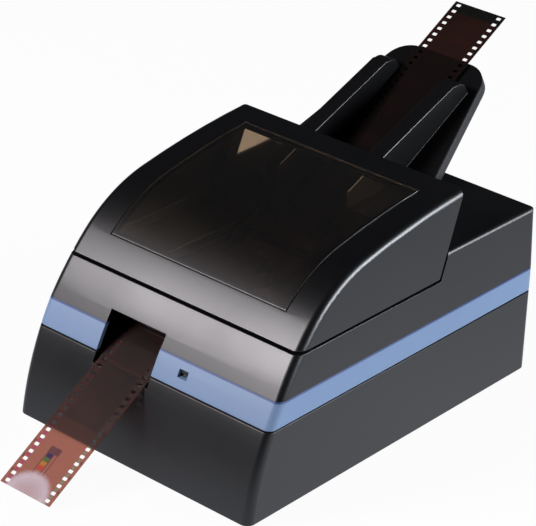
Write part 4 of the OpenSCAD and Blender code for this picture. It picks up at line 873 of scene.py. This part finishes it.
# ---- Colour band ----
# A ring of blue ABS between the two casings, moulded in its own colour with a satin face. Its outer
# edges are broken only slightly so that it lies flush.
blue_plastic = (0.153, 0.237, 0.388, 1)
band_edge = 0.25 * MM
band_shadow = 0.9 * MM
pipe_edge = 0.2 * MM

band_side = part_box("colour_band")[1].x
band_top = max(v.co.z for v in nodes["colour_band"].data.vertices if v.co.x > band_side - 0.1 * MM)
# A painted shadow darkens the band's top strip, where the upper casing's edge shades it
band_blue = moulded("blue_plastic", blue_plastic, smooth=0.38, rough=0.46, lift=1.06, edge_wear=0.0,
                    shaded_above=band_top - band_shadow)
dress("blue_band", "colour_band", band_edge, band_blue, straight=True)

# A light pipe of clear acrylic stands in the band's square hole, in front of the indicator board.
pipe = clear("clear_pipe", (0.92, 0.93, 0.95, 1), roughness=0.04, scratches=0.03)
dress("light_pipe", "indicator_lens", pipe_edge, pipe)

# ---- Upper casing ----
# The shell above the band, with the rear deck, the deck under the lid and two hinge ears in one moulding.
rim_step = 0.4 * MM
bumper_edge = 0.4 * MM
dress("top_shell", "upper_casing", casing_edge, charcoal, straight=True, shortest=rim_step)
bumper_rubber = rubber("bumper_rubber", (0.014, 0.014, 0.014, 1))
dress("bumper_pair", "lid_bumpers", bumper_edge, bumper_rubber, shortest=fine)

# ---- Lid ----
# One curved moulding, open behind and with a big opening for the window. It turns on two steel pins and
# rests on rubber bumpers.
lid_edge = 0.4 * MM
dress("lid_shell", "lid", lid_edge, charcoal, straight=True)
dress("hinge_pin_pair", "hinge_pins", turned_edge, ground_steel, shortest=fine)

# ---- Window ----
# A pane of smoked acrylic, bent to the lid's curve and bonded on a ledge. The film's way under it shows
# faintly, and its rounded edges are painted darker as painted shade.
smoke = (0.50, 0.34, 0.20, 1)
pane_edge = 0.3 * MM
smoked = clear("smoked_acrylic", smoke, haze=0.5, edge_matt=0.3, edge_shade=0.9)
dress("pane", "window", pane_edge, smoked, straight=True)

# ---- Hopper and tray back ----
# A trough of grained ABS for the waiting strips, with two guide rails, backed by a thicker plate of the
# same plastic. The grain is coarser than on the casings.
rail_edge = 0.6 * MM
tray_edge = 0.8 * MM
coarse = {"pits": 1500.0, "depth": 0.06 * MM}
grained = moulded("grained_plastic", (0.0055, 0.0055, 0.006, 1), smooth=0.36, rough=0.44, ior=1.2,
                  polish=1.0, **coarse)
dress("hopper", "film_hopper", rail_edge, grained)
tray_plastic = moulded("tray_plastic", (0.005, 0.005, 0.0056, 1), smooth=0.38, rough=0.46, **coarse)
dress("tray_plate", "tray_back", tray_edge, tray_plastic)

# ---- Film strips ----
# Two strips of 35 mm colour negative film: one waits in the hopper, the other leaves through the slot and
# bends down from the gate to the table. Each is a row of like lengths with two round-cornered perforations,
# and is see-through. The pictures are soft clouds of tone, and the loose end has a row of test colours.
film_width = 35 * MM
film_thick = 0.2 * MM
hole_pitch = 4.75 * MM
hole_in = 3.41 * MM
film_sizes = {"Width": film_width, "Pitch": hole_pitch, "Hole Width": 2.8 * MM, "Hole Length": 1.98 * MM,
              "Hole Corner": 0.5 * MM, "Hole Inset": hole_in}
picture_length = 36 * MM
picture_pitch = 38 * MM
picture_width = 24 * MM
mark_length = 0.9 * MM
mark_width = 1.8 * MM
dash_span = (7.6 * MM, 9.8 * MM)
dash_row = (film_width / 2 - 1.6 * MM, film_width / 2 - 0.7 * MM)
# Half width and colour of the painted highlight at the loose end of the leaving strip
glare_half_width = film_width * 0.42
glare_colour = (0.80, 0.66, 0.70, 1)
film_black = (0.010, 0.010, 0.007, 1)

strips, given = group("perforated_strip", {"Lengths": "Int", **dict.fromkeys(film_sizes, "Float"),
                                           "Material": "Material"})
hole = rectangle(strips, given["Hole Width"], given["Hole Length"])
hole = out(strips, "GeometryNodeFilletCurve", {"Curve": hole, "Count": 3, "Radius": given["Hole Corner"]},
           mode="POLY")
hole_x = maths(strips, "SUBTRACT", product(strips, given["Width"], 0.5), given["Hole Inset"])
holes = [moved(strips, hole, x=x) for x in (hole_x, product(strips, hole_x, -1.0))]
outline = rectangle(strips, given["Width"], given["Pitch"])
drawn = out(strips, "GeometryNodeJoinGeometry", {0: [outline, *holes]})
length = out(strips, "GeometryNodeFillCurve", {"Curve": drawn})
lengths_at = line_of(strips, given["Lengths"], given["Pitch"])
strip = repeated(strips, lengths_at, length, given["Material"])
strip = out(strips, "GeometryNodeMergeByDistance", {"Geometry": strip, "Distance": 0.02 * MM})
put(strips, "NodeGroupOutput", {0: strip})

chart_start = 9 * MM
chart_length = 20 * MM
chart_left = -5.1 * MM
chart_width = 6.8 * MM
chart_head = 4 * MM
chart_line = 0.22 * MM
chart_lines = (0, 4.6 * MM, chart_width)
chart_fields = (0.5 * MM, 4.2 * MM)
first_field = 5.5 * MM
field_length = 2.6 * MM
plum = (0.17, 0.055, 0.055, 1)
dark_plum = (0.11, 0.035, 0.035, 1)
field_colours = ((0.60, 0.06, 0.03, 1), (0.55, 0.20, 0.03, 1), (0.10, 0.16, 0.03, 1), (0.05, 0.02, 0.09, 1))


def test_colours(tree, colour, across, along):
    """A strip of test colours over the colour: a plum head and three dark lines, with a column of four
    fields between two of them."""
    end = chart_start + chart_length
    head = product(tree, within(tree, along, end - chart_head, end),
                   within(tree, across, chart_left, chart_left + chart_width))
    colour = tinted(tree, head, colour, plum)
    inside = within(tree, along, chart_start, end)
    for line in chart_lines:
        middle = chart_left + line
        line = product(tree, inside, within(tree, across, middle - chart_line, middle + chart_line))
        colour = tinted(tree, line, colour, dark_plum)
    column = within(tree, across, *(chart_left + x for x in chart_fields))
    for number, paint in enumerate(field_colours):
        low = chart_start + first_field + field_length * number
        patch = product(tree, column, within(tree, along, low, low + field_length))
        colour = tinted(tree, patch, colour, paint)
    return colour


def film_stock(name, base, tones, marks, first_picture, sheen, milky, glare_reach=None, dark_end=1.0,
               tested=False):
    """Developed negative film. Its UV map holds metres across from the middle and along from its lower end,
    where it can carry a painted highlight and be tested for its colours. From dark_end on it is nearly
    black. milky is the share of light it scatters."""
    material, tree = new_material(name)
    uv = out(tree, "ShaderNodeUVMap", uv_map="UVMap")
    across, along = parts(tree, uv)[:2]
    off_middle = maths(tree, "ABSOLUTE", across)
    start = maths(tree, "SUBTRACT", along, first_picture)
    spot = maths(tree, "FLOORED_MODULO", start, picture_pitch)
    number = maths(tree, "FLOOR", maths(tree, "DIVIDE", start, picture_pitch))
    pictures = product(tree, within(tree, off_middle, -1.0, picture_width / 2),
                       within(tree, spot, -1.0, picture_length), maths(tree, "GREATER_THAN", start, 0.0))
    clouds = out(tree, "ShaderNodeTexNoise", {"Vector": uv, "W": number, "Scale": 45.0, "Detail": 3.0,
                                              "Distortion": 0.6}, noise_dimensions="4D")
    colour = tinted(tree, pictures, base, tinted(tree, ramp(tree, clouds, 0.35, 0.65), *tones))
    # Edge signs printed between the perforations: one colour on each side
    turn = maths(tree, "FLOORED_MODULO", along, hole_pitch)
    signs = maths(tree, "SUBTRACT", 1.0, within(tree, turn, mark_length, hole_pitch - mark_length))
    hole_middle = film_width / 2 - hole_in
    for side, mark in zip((-1, 1), marks):
        side = product(tree, across, side)
        side = within(tree, side, hole_middle - mark_width / 2, hole_middle + mark_width / 2)
        colour = tinted(tree, product(tree, signs, side), colour, mark)
    # Dark dashes outside the perforations, one to every second perforation
    turn = maths(tree, "FLOORED_MODULO", along, 2 * hole_pitch)
    dashes = product(tree, within(tree, turn, *dash_span), within(tree, off_middle, *dash_row), 0.8)
    colour = tinted(tree, dashes, colour, scaled(base, 0.25))
    if tested:
        colour = test_colours(tree, colour, across, along)
    # The loose end carries a painted highlight in a round patch, where light catches its curled end, and is
    # rougher there
    glare = 0.0
    if glare_reach:
        far = maths(tree, "ADD", *(maths(tree, "POWER", maths(tree, "DIVIDE", way, reach), 2.0)
                                   for way, reach in ((across, glare_half_width), (along, glare_reach))))
        glare = product(tree, ramp(tree, far, 0.5, 1.1, 1.0, 0.0, interpolation_type="SMOOTHSTEP"),
                      ramp(tree, far, 0.0, 0.9, 0.5, 0.95))
        colour = tinted(tree, glare, colour, glare_colour)
    ending = ramp(tree, along, dark_end - 0.5 * MM, dark_end + 0.5 * MM)
    hair = noise(tree, uv, 260.0, 2.0, Distortion=2.0)
    return surfaced(material, {
        "Base Color": tinted(tree, ending, colour, film_black),
        "Roughness": maths(tree, "ADD", ramp(tree, hair, 0.3, 0.8, 0.08, 0.16), product(tree, glare, 0.35)),
        "Transmission Weight": 1.0 - milky, "IOR": 1.48, "Coat Weight": sheen, "Coat Roughness": 0.45})


def film_piece(name, node, lengths, material, place):
    """A strip whose every point along its length is put at the depth and height that place gives."""
    mesh = grown(name, strips, {"Lengths": lengths, **film_sizes, "Material": material})
    form = bmesh.new()
    form.from_mesh(mesh)
    chart = form.loops.layers.uv.new("UVMap")
    for face in form.faces:
        for corner in face.loops:
            corner[chart].uv = (corner.vert.co.x, corner.vert.co.y + hole_pitch / 2)
    low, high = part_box(node)
    for vert in form.verts:
        depth, height = place(vert.co.y + hole_pitch / 2)
        vert.co = Vector((vert.co.x + (low.x + high.x) / 2, depth, height))
    bmesh.ops.recalc_face_normals(form, faces=form.faces)
    form.to_mesh(mesh)
    form.free()
    sheet = mesh_object(name, mesh, [material])
    thickness = sheet.modifiers.new("thickness", "SOLIDIFY")
    thickness.thickness = film_thick
    thickness.offset = 0
    solid = solved(sheet)
    solid.shade_smooth()
    solid.set_sharp_from_angle(angle=smooth_up_to)
    sheet.modifiers.clear()
    sheet.data = solid
    fit(sheet, node)


def slope(angle):
    """The way up a slope, by depth and height."""
    return Vector((math.cos(angle), math.sin(angle)))


hopper_up = slope(math.radians(29))
low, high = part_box("loaded_film")
loaded_lengths = round((high - low).y / (hole_pitch * hopper_up.x))
loaded_foot = low.yz + film_thick / 2 * hopper_up.yx


def on_hopper(along):
    return loaded_foot + along * hopper_up


sign_brown = (0.04, 0.012, 0.007, 1)
brown_film = film_stock("brown_film", (0.045, 0.012, 0.007, 1),
                        ((0.045, 0.013, 0.007, 1), (0.029, 0.010, 0.006, 1)), (sign_brown, sign_brown),
                        first_picture=12 * MM, sheen=0.3, milky=0.14,
                        dark_end=loaded_lengths * hole_pitch - 7 * MM)
film_piece("waiting_strip", "loaded_film", loaded_lengths, brown_film, on_hopper)

exit_slope = math.radians(31.6)
exit_up = slope(exit_slope)
bend_radius = 60 * MM
low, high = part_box("scanned_film")
gate_height = high.z - film_thick / 2
free_end = low.yz + film_thick / 2 * exit_up.yx
exit_straight = (gate_height - bend_radius * (1 - exit_up.x) - free_end.y) / exit_up.y
bend_start = free_end + exit_straight * exit_up
flat_length = high.y - bend_start.x - bend_radius * exit_up.y
exit_lengths = int((exit_straight + bend_radius * exit_slope + flat_length) / hole_pitch)


def on_exit(along):
    """Up from the free end: a straight slope, the bend and the flat stretch in the gate."""
    if along < exit_straight:
        return free_end + along * exit_up
    reached = slope(exit_slope - min((along - exit_straight) / bend_radius, exit_slope))
    flat = max(0, along - exit_straight - bend_radius * exit_slope)
    bent = Vector((exit_up.y - reached.y, reached.x - exit_up.x))
    return bend_start + bend_radius * bent + Vector((flat, 0))


orange_film = film_stock("orange_film", (0.42, 0.135, 0.085, 1),
                         ((0.29, 0.11, 0.075, 1), (0.17, 0.085, 0.065, 1)),
                         ((0.50, 0.05, 0.16, 1), (0.28, 0.27, 0.17, 1)), first_picture=46 * MM,
                         sheen=0.55, milky=0.05, glare_reach=14 * MM, tested=True)
film_piece("leaving_strip", "scanned_film", exit_lengths, orange_film, on_exit)
